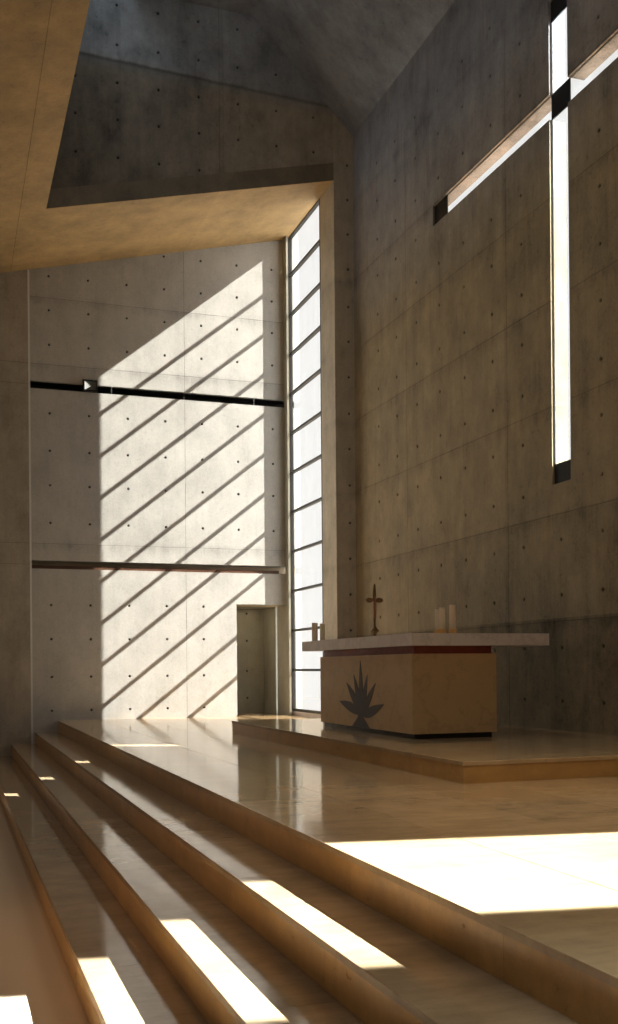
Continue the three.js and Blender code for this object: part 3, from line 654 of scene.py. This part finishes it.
cast_wall("north_wall_lower", (STRIP_EAST_X, DOOR_X[0], NORTH_EAST_X),
          (0, DOOR_HEAD_Z, LOWER_SLOT[0]), LEAF_T, wall_face, north_concrete,
          grid_of(NORTH_COLUMNS[:5], LOWER_ROWS), NORTH_BAY,
          keep=lambda a, b: (a < DOOR_X[0]) | (b > DOOR_HEAD_Z))
cast_wall("north_wall_middle", (STRIP_EAST_X, NORTH_EAST_X), (LOWER_SLOT[1], UPPER_SLOT[0]),
          LEAF_T, wall_face, north_concrete, grid_of(NORTH_COLUMNS, MIDDLE_ROWS), NORTH_BAY,
          NORTH_JOINTS[:1])
cast_wall("north_wall_upper", (STRIP_EAST_X, NORTH_EAST_X),
          (UPPER_SLOT[1], soffit_at(NORTH_EAST_X)), LEAF_T, wall_face, north_concrete,
          grid_of(NORTH_COLUMNS, UPPER_ROWS, lambda a, b: b < soffit_at(a) - TIE_MARGIN),
          NORTH_BAY, NORTH_JOINTS[1:], head=under_soffit)
cast_wall("north_wall_west_end", (WEST_END_X, STRIP_WEST_X), (0, soffit_at(STRIP_WEST_X)),
          LEAF_T, wall_face, west_end_concrete, joints_b=WEST_END_JOINTS, head=under_soffit)
cast_wall("passage_back_wall", (DOOR_X[0] - PASSAGE_T, NORTH_EAST_X), (0, DOOR_HEAD_Z),
          PASSAGE_T, facing_south(PASSAGE_LENGTH), passage_concrete,
          grid_of((3670,), PASSAGE_ROWS))


def carried(ring, ends, caps):
    """A closed ring of (y, z) points carried along X between two ends, with its caps."""
    count = len(ring)
    points = np.concatenate([np.column_stack([np.full(count, x), ring]) for x in ends])
    index = np.arange(count)
    after = np.roll(index, -1)
    sides = np.stack([index, after, after + count, index + count], -1)
    caps = np.asarray(caps)
    return points, np.concatenate([sides, caps, caps[:, ::-1] + count])


BRACKETS_X, BRACKET_W, BRACKET_T = (927, 2178, 3442), 9, 3


def bracket(x):
    """A flat steel strap bent round the slot's mouth: the path runs in along the ledge, up
    across the mouth and back in along the top, offset by the strap's thickness."""
    low, high = UPPER_SLOT[0] + 2.5, UPPER_SLOT[1] - 2.5
    deep, mouth, t = 70, 5, BRACKET_T
    outer = np.array([(deep, low), (mouth + t, low), (mouth, low + t), (mouth, high - t),
                      (mouth + t, high), (deep, high)])
    inner = np.array([(deep, low + t), (mouth + t + 1, low + t), (mouth + t, low + t + 1),
                      (mouth + t, high - t - 1), (mouth + t + 1, high - t), (deep, high - t)])
    ring = np.concatenate([outer, inner[::-1]])
    half = np.arange(len(outer) - 1)
    cap = np.stack([half, half + 1, len(ring) - 2 - half, len(ring) - 1 - half], -1)
    return carried(ring, (x - BRACKET_W / 2, x + BRACKET_W / 2), cap)


make_piece("slot_brackets", *joined(*[bracket(x) for x in BRACKETS_X]), strap_paint,
           "white_trim", [])


def slot_shade_sheet():
    """A thin black sheet deep in the upper slot, painted shade where the slot lies in shadow:
    in along the bottom, up the back, out along the top; the front of the slot shows bare concrete."""
    bottom, top, deep, t = UPPER_SLOT[0] + 0.4, UPPER_SLOT[1] - 0.4, LEAF_T - 0.4, 2
    low_lip, high_lip = 14, 75
    ring = np.array([(low_lip, bottom), (deep, bottom), (deep, top), (high_lip, top),
                     (high_lip, top - t), (deep - t, top - t), (deep - t, bottom + t),
                     (low_lip, bottom + t)])
    ends = (STRIP_EAST_X + 1, NORTH_EAST_X - 1)
    return carried(ring, ends, [(0, 1, 6, 7), (1, 2, 5, 6), (2, 3, 4, 5)])


# Painted shade: the black sheet stands for the shade deep in the upper slot.
make_piece("upper_slot_shade_sheet", *slot_shade_sheet(), black_and_slot_shade_paint, "black_panel", [])

TRAY_EAST_X = 3900


def lower_tray():
    """A brown angle standing on the lower slot's ledge: a foot 140 deep, and a leaf 62 high
    set 60 behind the wall's face, both 3 thick."""
    low, front, foot, leaf, t = LOWER_SLOT[0] + 0.4, 60, 140, 62, 3
    ring = np.array([(front, low), (front + foot, low), (front + foot, low + t),
                     (front + t, low + t), (front + t, low + leaf), (front, low + leaf)])
    return carried(ring, (STRIP_EAST_X + 1, TRAY_EAST_X), [(0, 1, 2, 3), (0, 3, 4, 5)])


make_piece("lower_slot_tray", *lower_tray(), tray_paint, "frame_metal", [])


def lamp_shell():
    """The lamp at the slot: a box with a bezel, and inside it a reflector pressed in as an
    upside-down pyramid, its depth growing evenly from the bezel to the middle. The west
    facet of the pyramid is painted sunlit white, a painted highlight, and the others are grey."""
    bezel, rim, deep, lean = 26, 4, 52, 1.24
    middle_x, middle_z = sum(LAMP_X) / 2, sum(LAMP_Z) / 2
    across = np.linspace(0, 1, 9)

    def grid(low, high):
        inner = low + bezel + 2 + (high - low - 2 * bezel - 4) * across
        return np.concatenate([[low, low + 2, low + bezel], inner, [high - bezel, high - 2, high]])

    half = (LAMP_X[1] - LAMP_X[0]) / 2 - bezel, (LAMP_Z[1] - LAMP_Z[0]) / 2 - bezel

    def dents(p, q):
        edge = np.minimum.reduce([p - LAMP_X[0], LAMP_X[1] - p, q - LAMP_Z[0], LAMP_Z[1] - q])
        run = np.minimum(half[0] - np.abs(p - middle_x),
                         half[1] * lean - lean * np.abs(q - middle_z)) / half[0]
        pressed = rim + (deep - rim) * np.clip(run, 0, 1)
        return 1.5 * (edge < 1) + pressed * (edge > bezel + 1)

    shell = slab(grid(*LAMP_X), grid(*LAMP_Z), LAMP_PROUD, facing_south(-LAMP_PROUD),
                 dents=dents, both=False)
    p, q = shell[2]
    west = (middle_x - p) > lean * np.abs(q - middle_z) - 4
    painted_sunlight = (np.where(west, 1.0, 0.12) * (dents(p, q) > 3)).ravel()
    return shell[0], shell[1], np.concatenate([painted_sunlight, 0 * painted_sunlight])


def lamp_finish():
    """Black housing with a reflector whose sunward facet is painted white and glows a little:
    painted sunlight.
    """
    f = Finish("slot_lamp_finish", Emission_Strength=0.7)
    mark = f.mark("tone")
    speck = f.noise(90, detail=3)
    # Painted sunlight: the sunward facet is white and glows.
    f.colour(f.mix(mark.clamped(), rgb(0.01, 0.01, 0.011), rgb(0.85, 0.85, 0.82)))
    f.set("Roughness", 0.3 + 0.2 * speck)
    f.set("Emission Color", f.mix(mark.clamped() ** 3, rgb(0, 0, 0), rgb(0.9, 0.9, 0.84)))
    return f.material


lamp_points, lamp_faces, lamp_painted_sunlight = lamp_shell()
make_piece("slot_lamp", lamp_points, lamp_faces, lamp_finish(), "white_trim",
           ["slot_spotlight"], {"tone": lamp_painted_sunlight})


# Soffit, light well and roof

SOFFIT_JOINT, WELL_JOINT = SOFFIT_BAYS[:1], WELL_BAYS[1:]
FRAME_BACK_X = WINDOW_X + WINDOW_FRAME_T
cast_wall("soffit_west_strip", (WEST_END_X, WELL_WEST_X), (ALTAR_SOUTH_Y, WELL_Y), SOFFIT_T,
          under_slope, soffit_concrete, joints_a=SOFFIT_JOINT)
cast_wall("soffit_north_strip", (WEST_END_X, WINDOW_X, FRAME_BACK_X, NORTH_EAST_X),
          (WELL_Y, WINDOW_JAMB_Y, 0, NORTH_T), SOFFIT_T, under_slope, soffit_concrete,
          joints_a=SOFFIT_JOINT,
          keep=lambda a, b: (a < WINDOW_X) | ((a < FRAME_BACK_X) & (b > WINDOW_JAMB_Y)) | (b > 0))

OUT_WEST_X = WELL_WEST_X - WELL_WEST_T
WELL_COLUMNS = (84, 697, 1310, 1924, 2537, 3151, 3764)
WELL_ROWS = (11390, 10806, 10244, 9698, 9137)
WELL_HOLES = grid_of(
    WELL_COLUMNS, WELL_ROWS,
    lambda a, b: over_slab(a) + TIE_MARGIN < b < under_roof(a) - TIE_MARGIN)
cast_wall("well_north_wall", (OUT_WEST_X, ROOF_LIGHT_X, ROOF_BEND_X, WINDOW_X),
          (over_slab(OUT_WEST_X), 8900, ROOF_Z, ROOF_Z + ROOF_T), WELL_T, facing_south(WELL_Y),
          well_concrete, WELL_HOLES, joints_a=WELL_JOINT, foot=over_slab,
          head=lambda a: np.where(a <= ROOF_LIGHT_X + 0.01, ROOF_Z + ROOF_T, under_roof(a)))


# Pier and altar wall

JAMB_FACE_Y, PIER_EAST_X = WELL_Y + WELL_T, WINDOW_X + PIER_T
beside_window = slab(
    np.array((WINDOW_X, PIER_EAST_X)), np.array((0, soffit_at(PIER_EAST_X) + SOFFIT_T + 1)),
    WINDOW_JAMB_Y - JAMB_FACE_Y, facing_south(JAMB_FACE_Y), head=over_slab)
PIER_COLUMN = (4328,)
PIER_ROWS = (9574, 9026, 8477, 7920, 7323, 6770, 6205, 5626, 5065, 4483, 3888, 3320, 2750,
             2180, 1610, 1040)
cast_wall("pier", (WINDOW_X, ALTAR_OUT_X), (0, roof_at(WINDOW_X)), WELL_T, facing_south(WELL_Y),
          pier_concrete, grid_of(PIER_COLUMN, PIER_ROWS), head=under_roof,
          extra=[beside_window])

ALTAR_COLUMNS = (-3319, -3992, -4670, -5376, -6066, -6772, -7446, -8205, -8939, -9633,
                 -10327, -11021, -11715, -12409, -13103, -13797)
ALTAR_ROWS = (6907, 6355, 5781, 5218, 4638, 4083, 3494, 2929, 2344, 1780, 1215)
ARM_ROWS, TOP_ROW = (7489, 8036, 8620), (9190,)
HOLE_TO_CROSS = 40
altar_face = facing_west(ALTAR_WALL_X)
SLOT_Y = (CROSS_Y - CROSS_HALF_W, CROSS_Y + CROSS_HALF_W)
ARM_Y = (CROSS_Y - CROSS_ARM, CROSS_Y + CROSS_ARM)


def off_cross(y, reach):
    """Whether a hole at y keeps clear of an opening that reaches this far from the cross."""
    return abs(y - CROSS_Y) > reach + HOLE_TO_CROSS


cast_wall("altar_wall_lower", (ALTAR_SOUTH_Y, *SLOT_Y, WELL_Y), (0, CROSS_FOOT_Z, CROSS_ARM_Z[0]),
          ALTAR_T, altar_face, altar_concrete,
          grid_of(ALTAR_COLUMNS, ALTAR_ROWS,
                  lambda a, b: off_cross(a, CROSS_HALF_W) or b < CROSS_FOOT_Z - HOLE_TO_CROSS),
          ALTAR_BAYS, ALTAR_JOINTS[:5],
          keep=lambda a, b: (np.abs(a - CROSS_Y) > CROSS_HALF_W) | (b < CROSS_FOOT_Z))
cast_wall("altar_wall_upper", (ALTAR_SOUTH_Y, ARM_Y[0], *SLOT_Y, ARM_Y[1], WELL_Y),
          (CROSS_ARM_Z[0], CROSS_ARM_Z[1], CROSS_TOP_Z, TOP_JOINT_Z), ALTAR_T, altar_face,
          altar_concrete,
          grid_of(ALTAR_COLUMNS, ARM_ROWS, lambda a, b: off_cross(a, CROSS_HALF_W) and (
              b > CROSS_ARM_Z[1] + HOLE_TO_CROSS or off_cross(a, CROSS_ARM))),
          ALTAR_BAYS, ALTAR_JOINTS[5:],
          keep=lambda a, b: ((np.abs(a - CROSS_Y) > CROSS_ARM) | (b > CROSS_ARM_Z[1])) & (
              (np.abs(a - CROSS_Y) > CROSS_HALF_W) | (b > CROSS_TOP_Z)))


def top_of_altar_wall():
    """The top strip of the altar wall: its head follows the roof, which falls to the east,
    so the outer face is lower than the inner one, by the fall times the share of height."""
    holes = grid_of(ALTAR_COLUMNS, TOP_ROW)
    across = lines_at((ALTAR_SOUTH_Y, WELL_Y), np.array(holes)[:, 0], ALTAR_BAYS)
    inner, outer = float(under_roof(ALTAR_WALL_X)), float(under_roof(ALTAR_OUT_X))
    up = lines_at((TOP_JOINT_Z, inner), np.array(holes)[:, 1])

    def lay(a, b, c):
        share = (b - TOP_JOINT_Z) / (inner - TOP_JOINT_Z)
        fall = np.where(b > TOP_ROW[0] + 110, (inner - outer) * (c / ALTAR_T) * share, 0)
        return ALTAR_WALL_X + c, a, b - fall

    def dents(a, b):
        return np.maximum(tie_dents(a, b, holes)[0], joint_dents(a, ALTAR_BAYS))

    shell = slab(across, up, ALTAR_T, lay, dents=dents)
    shade = tie_dents(*shell[2], holes)[1].ravel()
    return shell[0], shell[1], np.concatenate([shade, shade])


top_points, top_faces, top_shade = top_of_altar_wall()
make_piece("altar_wall_top_cast", top_points, top_faces, altar_concrete, "concrete",
           ["altar_wall_top"], {"recess": top_shade})


def cross_frame():
    """A thin bar round the glass: the cross outline moved in by 0.4 and by 8, each carried
    12 deep; along each axis the outline's points move towards the cross's own axes."""
    back_x = ALTAR_WALL_X + GLASS_RECESS - 0.4
    front_x = back_x - 12
    (south, north), (low, high) = SLOT_Y, CROSS_ARM_Z
    loop = np.array([
        (south, CROSS_FOOT_Z), (north, CROSS_FOOT_Z), (north, low), (ARM_Y[1], low),
        (ARM_Y[1], high), (north, high), (north, CROSS_TOP_Z), (south, CROSS_TOP_Z),
        (south, high), (ARM_Y[0], high), (ARM_Y[0], low), (south, low)], float)
    before, after = np.roll(loop, 1, 0), np.roll(loop, -1, 0)

    def inward(step):
        """A step's direction turned a quarter turn to the left, which faces the inside."""
        along = step / np.hypot(*step.T)[:, None]
        return np.column_stack([-along[:, 1], along[:, 0]])

    turn = inward(loop - before) + inward(after - loop)
    count = len(loop)
    rings = [np.column_stack([np.full(count, x), loop + move * turn])
             for x, move in ((front_x, 0.4), (front_x, 8), (back_x, 8), (back_x, 0.4))]
    index = np.arange(count)
    following = np.roll(index, -1)
    faces = [np.stack([index + k * count, following + k * count,
                       following + (k + 1) % 4 * count, index + (k + 1) % 4 * count], -1)
             for k in range(4)]
    return np.concatenate(rings), np.concatenate(faces)


make_piece("cross_frame", *cross_frame(), frame_paint, "frame_metal", [])


# Steps, platform and dais

SLAB_COLUMNS = 655 + SLAB_WIDTH * np.arange(6)
DAIS_COLUMNS = DAIS_X + SLAB_WIDTH * np.arange(1, 4)
SLABS_ALONG, SHORTEST_SLAB, RISER_SHIFT = 13, 120, 200


def cross_joints(low, high, shift):
    """Joints every slab length from the wall, moved by shift, kept inside low to high."""
    places = -shift - SLAB_LENGTH * np.arange(float(SLABS_ALONG))
    return places[(places > low + SHORTEST_SLAB) & (places < high - SHORTEST_SLAB)]


def eased(run):
    """Depth of a rounded edge of radius R at a distance from it: R - sqrt(R2 - (R - run)2)."""
    return ARRIS_R - np.sqrt(ARRIS_R ** 2 - (ARRIS_R - np.clip(run, 0, ARRIS_R)) ** 2)


def paving(name, x, y, top, columns=(), keep=None, edges_x=(), edges_y=(), ends=False,
           finish=beige_paving):
    """A bed of slabs: V joints between columns and across them, staggered by half a slab
    from one column to the next, and an eased nosing; ends eases the two ends as well. Each
    slab's tone is a sine of its number and its column, and the sawn front has a mark."""
    ease = np.array((0, 0.9, ARRIS_R))
    across = lines_at((*x, *edges_x), joints=columns, half=PAVING_JOINT_HALF)
    across = np.unique(np.concatenate([across, x[0] + ease]))
    shifts = (SLAB_LENGTH * 0.25, SLAB_LENGTH * 0.75)
    joints = [cross_joints(y[0], min(y[1], 0), shift) for shift in shifts]
    along = lines_at((*y, *edges_y), joints=np.concatenate(joints), half=PAVING_JOINT_HALF)
    if ends:
        along = np.unique(np.concatenate([along, y[0] + ease, y[1] - ease]))

    def cut(value, places):
        return joint_dents(value, places, PAVING_JOINT_HALF, PAVING_JOINT_DEPTH)

    def parts(a, b):
        column = np.searchsorted(np.asarray(columns, float), a) if len(columns) else 0 * a
        odd = np.asarray(column) % 2 == 1
        groove = np.where(odd, cut(b, joints[1]), cut(b, joints[0]))
        return np.maximum(groove, cut(a, columns)), column, odd

    def dents(a, b):
        depth = np.maximum(parts(a, b)[0], eased(a - x[0]))
        if ends:
            depth = np.maximum(depth, eased(np.minimum(b - y[0], y[1] - b)))
        return depth

    shell = slab(across, along, PAVING_T, facing_up(top), keep, dents, both=False)
    a, b = shell[2]
    groove, column, odd = parts(a, b)
    number = np.where(odd, np.searchsorted(-joints[1], -b), np.searchsorted(-joints[0], -b))
    tone = np.sin(7.3 * number + 3.1 * np.asarray(column) + top) * 0.5
    marks = {"tone": np.tile(tone.ravel(), 2),
             "recess": np.tile(groove.ravel() / PAVING_JOINT_DEPTH, 2),
             "edge": np.tile((a < x[0] + 0.5).astype(float).ravel(), 2)}
    make_piece(name + "_slabs", shell[0], shell[1], finish, "marble", [name], marks)


paving("platform_paving", (-NOSING, ALTAR_WALL_X), (SOUTH_Y, PASSAGE_LENGTH), PLATFORM_Z,
       SLAB_COLUMNS, edges_x=(*DOOR_X, WINDOW_X), edges_y=(WELL_Y, 0),
       keep=lambda a, b: ((b < 0) & ((a < WINDOW_X) | (b < WELL_Y))) | (
           (b > 0) & (a > DOOR_X[0]) & (a < DOOR_X[1])))
for step in (1, 2, 3):
    west = -GOING * step - NOSING
    paving(f"tread_{step}", (west, -GOING * (step - 1)), (SOUTH_Y, 0),
           PLATFORM_Z - RISER_H * step, finish=tread_stone)
paving("dais_paving", (DAIS_X, ALTAR_WALL_X), DAIS_Y, DAIS_Z, DAIS_COLUMNS, ends=True)


def riser(step):
    """A row of riser slabs with hairline joints between them, staggered from step to step;
    each slab's tone is a sine of its number."""
    west = -GOING * (step - 1)
    top = PLATFORM_Z - RISER_H * (step - 1) - PAVING_T
    foot = 0 if step == 4 else top + PAVING_T - RISER_H
    joints = cross_joints(SOUTH_Y, 0, SLAB_LENGTH * (0.5 if step % 2 else 0.0) + RISER_SHIFT)
    along = lines_at((SOUTH_Y, 0), joints=joints, half=RISER_JOINT_HALF)
    shell = slab(along, np.array((foot, top)), FACING_T, facing_west(west), both=False,
                 dents=lambda a, b: joint_dents(a, joints, RISER_JOINT_HALF, RISER_JOINT_DEPTH))
    place = shell[2][0]
    tone = np.sin(5.1 * np.searchsorted(-joints, -place) + step) * 0.5
    recess = joint_dents(place, joints, RISER_JOINT_HALF, 1.0)
    marks = {"tone": np.tile(tone.ravel(), 2), "recess": np.tile(recess.ravel(), 2)}
    make_piece(f"riser_{step}_slabs", shell[0], shell[1], riser_stone, "marble",
               [f"riser_{step}"], marks)


for step in (1, 2, 3, 4):
    riser(step)


# Altar top

# Each candle's place on the altar, radius, height of its top and whether a cup holds it.
CANDLES = ((3006, -8138, 30, 2190, True), (2906, -8438, 30, 2186, True),
           (3021, -8438, 32, 2215, True), (2500, -5798, 36, 2147, False),
           (2598, -5798, 30, 2140, False))
CUP_FLOOR, MELTED, CUP_FLUTE = 40, 9, 0.05


def candle(number, x, y, radius, top, held):
    """A used candle, all of it turned: straight side, rounded rim, a shallow melted dish, a
    burnt wick, and for some a fluted brass cup with a lip at its foot and rim."""
    foot = ALTAR_TOP_Z + (CUP_FLOOR if held else 0)
    height = top - foot - MELTED
    profile = [(0, 0), (radius - 2, 0), (radius, 2), (radius, height * 0.5), (radius, height - 4),
               (radius - 1.2, height - 1.2), (radius - 4, height), (radius - 7, height - 3),
               (radius * 0.45, height - 7), (0, height - 8)]
    make_piece(f"candle_{number}_wax", *turned(profile, (x, y, foot)), wax, "wax",
               [f"candle_{number}"], smooth=True)
    thread = [(0, height - 8.5), (1.6, height - 8.5), (1.3, height + 2), (1.0, height + 8),
              (0, height + 9)]
    make_piece(f"candle_{number}_wick", *turned(thread, (x, y, foot), 12), wick, "wax", [],
               smooth=True)
    if held:
        cup = [(0, 0), (39, 0), (40, 1.5), (39, 4), (36, 7), (35, 12), (35, 44), (36, 48),
               (39, 51), (40, 54), (39, 56), (36.5, 56), (34.5, 53), (34, 36), (0, 36)]
        make_piece(f"candle_{number}_cup",
                   *turned(cup, (x, y, ALTAR_TOP_Z), 128, CUP_FLUTE), brass, "brass",
                   [f"candle_holder_{number}"], smooth=True)


for number, spec in enumerate(CANDLES, 1):
    candle(number, *spec)

STAND = np.array((2786, -6998, ALTAR_TOP_Z))
STAND_ARM_Z, STAND_BAR_T = 430, 14


def cross_bar(start, end, half_widths, upright):
    """A flat bar whose half width follows half_widths from start to end; it runs up from
    the altar's top, or along X at the arms' height."""
    along = np.linspace(0, 1, 25)
    places = np.linspace(0, 1, len(half_widths))

    def lay(a, b, c):
        way = start + (end - start) * a
        wide = b * np.interp(a, places, half_widths)
        out = c - STAND_BAR_T / 2
        side, rise = (wide, way) if upright else (way, STAND_ARM_Z + wide)
        return STAND[0] + side, STAND[1] + out, STAND[2] + rise

    return slab(along, np.array((-1.0, 1.0)), STAND_BAR_T, lay)


def altar_cross():
    """A cross with leaf-shaped arms and top on a turned stand with a pointed knob."""
    knob = turned([(0, 0), (48, 0), (50, 2), (48, 6), (26, 14), (21, 24), (21, 44), (30, 60),
                   (50, 84), (50, 88), (30, 112), (18, 126), (14, 134), (0, 136)], STAND, 16)
    post = cross_bar(120, 614, (12, 12, 13, 13, 13, 14, 15, 18, 17, 13, 6), True)
    arms = cross_bar(-100, 100, (10, 26, 30, 27, 16, 15, 16, 27, 30, 26, 10), False)
    return joined(knob, post, arms)


make_piece("altar_cross_leafed", *altar_cross(), bronze, "bronze", ["altar_cross"])


# CAD nodes that stay, each with its finish

KEPT = {
    slot_concrete: ("north_wall_back",),
    passage_concrete: ("passage_east_wall", "passage_west_wall", "passage_roof",
                       "window_jamb_nib"),
    pier_concrete: ("step_core", "platform_core"),
    well_concrete: ("well_west_wall",),
    roof_concrete: ("roof",),
    riser_stone: ("dais_core",),
    slab_stone: ("altar_slab", "window_sill"),
    altar_stone: ("altar_block",),
    neck_stone: ("altar_neck",),
    plinth_stone: ("altar_plinth",),
    inlay_stone: ("altar_inlay",),
    frame_paint: ("window_frame",),
    black_and_slot_shade_paint: ("cross_panel_centre", "cross_panel_north", "cross_panel_south",
                  "cross_panel_top", "cross_panel_foot"),
    white_paint: ("wall_joint_strip",),
    glass: ("window_glass", "cross_glass", "roof_light_glass", "passage_slit_glass"),
    red_bronze: ("altar_cross_figure",),
}
for finish, names in KEPT.items():
    for name in names:
        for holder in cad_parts[name].material_slots:
            holder.material = finish
ALTAR_SLAB_ARRIS = 0.006
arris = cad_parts["altar_slab"].modifiers.new("eased_arris", "BEVEL")
arris.width, arris.segments = ALTAR_SLAB_ARRIS, 2


# Floor, sky and sun

# The studio floor, in metres, lies just under the building
FLOOR_HALF, FLOOR_Z = 40, -0.002
floor_mesh = bpy.data.meshes.new("studio_floor")
floor_mesh.from_pydata(
    [(x * FLOOR_HALF, y * FLOOR_HALF, FLOOR_Z) for x, y in ((-1, -1), (1, -1), (1, 1), (-1, 1))],
    [], [(0, 1, 2, 3)])
floor = bpy.data.objects.new("studio_floor", floor_mesh)
floor_finish = Finish("pale_studio_floor", Roughness=0.9)
floor_finish.set("Base Color", rgb(0.72, 0.53, 0.34))
floor_mesh.materials.append(floor_finish.material)
bpy.context.scene.collection.objects.link(floor)

world = bpy.data.worlds.new("soft_daylight")
bpy.context.scene.world = world
world.use_nodes = True
sky = world.node_tree.nodes["Background"].inputs
sky["Color"].default_value, sky["Strength"].default_value = (0.92, 0.95, 1.0, 1), 0.04

SUN, SUN_STRENGTH, SUN_SPREAD = Vector((-2.5, 1.2, -2.0)).normalized(), 5.6, 0.6
SUNLIGHT, WINDOW_SUN, COOL_SUN = (1, 0.965, 0.9), (1, 0.97, 0.92), (0.80, 0.92, 1)
WARM, SKY_WHITE = (1.0, 0.72, 0.44), (1.0, 0.995, 0.97)
WEST, NORTH, UP, DOWN = (-1, 0, 0), (0, 1, 0), (0, 0, 1), (0, 0, -1)


def softbox(name, centre, towards, size, radiance, colour=(1, 1, 1), spread=180.0,
            along=UP, seen=(), lights=True):
    """A rectangular lamp at centre, facing along towards, of the given brightness: its power
    is brightness times pi times its area. seen names what shows it: the camera, polished
    surfaces or both."""
    data = bpy.data.lights.new(name, "AREA")
    data.shape, data.size, data.size_y = "RECTANGLE", size[0] / 1000, size[1] / 1000
    data.energy = radiance * math.pi * data.size * data.size_y
    data.color = colour
    data.spread = math.radians(spread)
    lamp = bpy.data.objects.new(name, data)
    aim = Vector(towards).normalized()
    side = aim.cross(Vector(along)).normalized()
    lamp.matrix_world = Matrix.Translation(Vector(metres(centre))) @ Matrix(
        (side, side.cross(aim), -aim)).transposed().to_4x4()
    bpy.context.scene.collection.objects.link(lamp)
    lamp.visible_glossy = "gloss" in seen
    lamp.visible_camera = "camera" in seen
    lamp.visible_diffuse = lights


def sunbeam(name, target, size, strength=SUN_STRENGTH, back=6000, along=UP, colour=SUNLIGHT):
    """Parallel light falling on target along the sun's direction, from back millimetres
    away; along is the way its second side runs."""
    softbox(name, Vector(target) - SUN * back, SUN, size, strength, colour,
            spread=SUN_SPREAD, along=along)


# Daylight outside the window and the cross. The white cards just outside the glass are
# seen but light nothing, and the gleam shows only in polished surfaces.
OUTSIDE_Y, OUTSIDE_Z, OUTSIDE_SIZE = -1500, 6400, (19000, 12400)
softbox("east_daylight", (6500, OUTSIDE_Y, OUTSIDE_Z), WEST, OUTSIDE_SIZE, 2.8)
softbox("window_sky", (WINDOW_X + 96, WINDOW_JAMB_Y / 2, 5020), WEST, (-WINDOW_JAMB_Y, 8660),
        0.97, SKY_WHITE, seen=("camera",), lights=False)
softbox("cross_sky", (ALTAR_OUT_X + 15, CROSS_Y + 8, 6130), WEST, (6140, 5270), 0.92,
        SKY_WHITE, seen=("camera",), lights=False)
softbox("window_gleam", (6400, OUTSIDE_Y, OUTSIDE_Z), WEST, OUTSIDE_SIZE, 0.95,
        (1.0, 0.82, 0.6), seen=("gloss",), lights=False)
softbox("roof_daylight", (100, -8200, 12500), (0.45, 0, -1), (1475, 12000), 1.7,
        (0.80, 0.91, 1.0), spread=110, along=NORTH)

# Light that comes back from walls, floors and the nave
softbox("well_bounce", (1700, -4200, 11400), (0, 1, -0.05), (2200, 300), 1.2,
        (0.85, 0.94, 1.0))
softbox("nave_bounce", (-8000, -9500, 3500), (1, 0.3, 0.0), (13000, 6000), 0.20, WARM)
softbox("nave_clerestory", (-2500, -21000, 9500), (0.35, 0.75, -0.5), (6000, 3000), 0.74,
        (1.0, 0.86, 0.7))
softbox("floor_bounce", (1700, -2400, 1050), (-0.1, 0, 1), (3200, 4200), 0.45, WARM,
        along=NORTH)
softbox("sunlit_wall_glow", (2200, -80, 4300), (0.05, -1, 0), (2800, 6500), 0.9,
        (1.0, 0.9, 0.74))
softbox("platform_glow", (1700, -13000, 3000), (0.1, 0.05, -1), (2400, 4600), 0.75,
        (1.0, 0.82, 0.62), spread=120, along=NORTH)
softbox("patch_bounce", (1500, -13400, 790), (0.15, 0.7, 0.7), (3000, 1500), 0.15,
        (1.0, 0.70, 0.42), along=(1, 0, 0))
softbox("step_bounce", (-1750, -11700, 650), (1, 0.1, 0.1), (2600, 800), 0.4,
        (1.0, 0.60, 0.28))
softbox("south_step_light", (700, -15500, 3200), DOWN, (3600, 900), 0.5, (0.78, 0.9, 1.0),
        spread=40, along=NORTH)
softbox("arm_bounce", (4560, CROSS_Y, CROSS_ARM_Z[0] + 8), UP, (100, 5900), 5.5,
        (1.0, 0.55, 0.21), along=NORTH)

# The passage, its slit and the narrow gap outside the window's far jamb
softbox("slit_daylight", (4070, 524, 1734), NORTH, (120, 1900), 3.2, (0.88, 0.94, 1.0))
softbox("outer_reveal_light", (4235, -300, 5000), NORTH, (110, 8400), 3.0, spread=90)
softbox("passage_lamp", (3560, 800, 2690), (0.2, 0, -1), (700, 1000), 1.2, (1.0, 0.84, 0.58),
        along=NORTH)

# Sun through the window, the slit, the cross and an opening further south
PATCH_EDGE = Vector((1, -0.17, 0))
sunbeam("window_sun", (3940, -1185, 5070), (1887, 8600), colour=WINDOW_SUN)
sunbeam("slit_sun", (NORTH_EAST_X, 560, 1730), (400, 2600))
sunbeam("cross_sun", (ALTAR_WALL_X, CROSS_Y, 5600), (900, 5200), 3 * SUN_STRENGTH, 3500,
        colour=COOL_SUN)
sunbeam("floor_sun", (450, -13830, PLATFORM_Z), (1400, 3400), 2.8 * SUN_STRENGTH, 9000,
        along=PATCH_EDGE - SUN * PATCH_EDGE.dot(SUN), colour=COOL_SUN)

bpy.context.scene.view_settings.view_transform = "Standard"
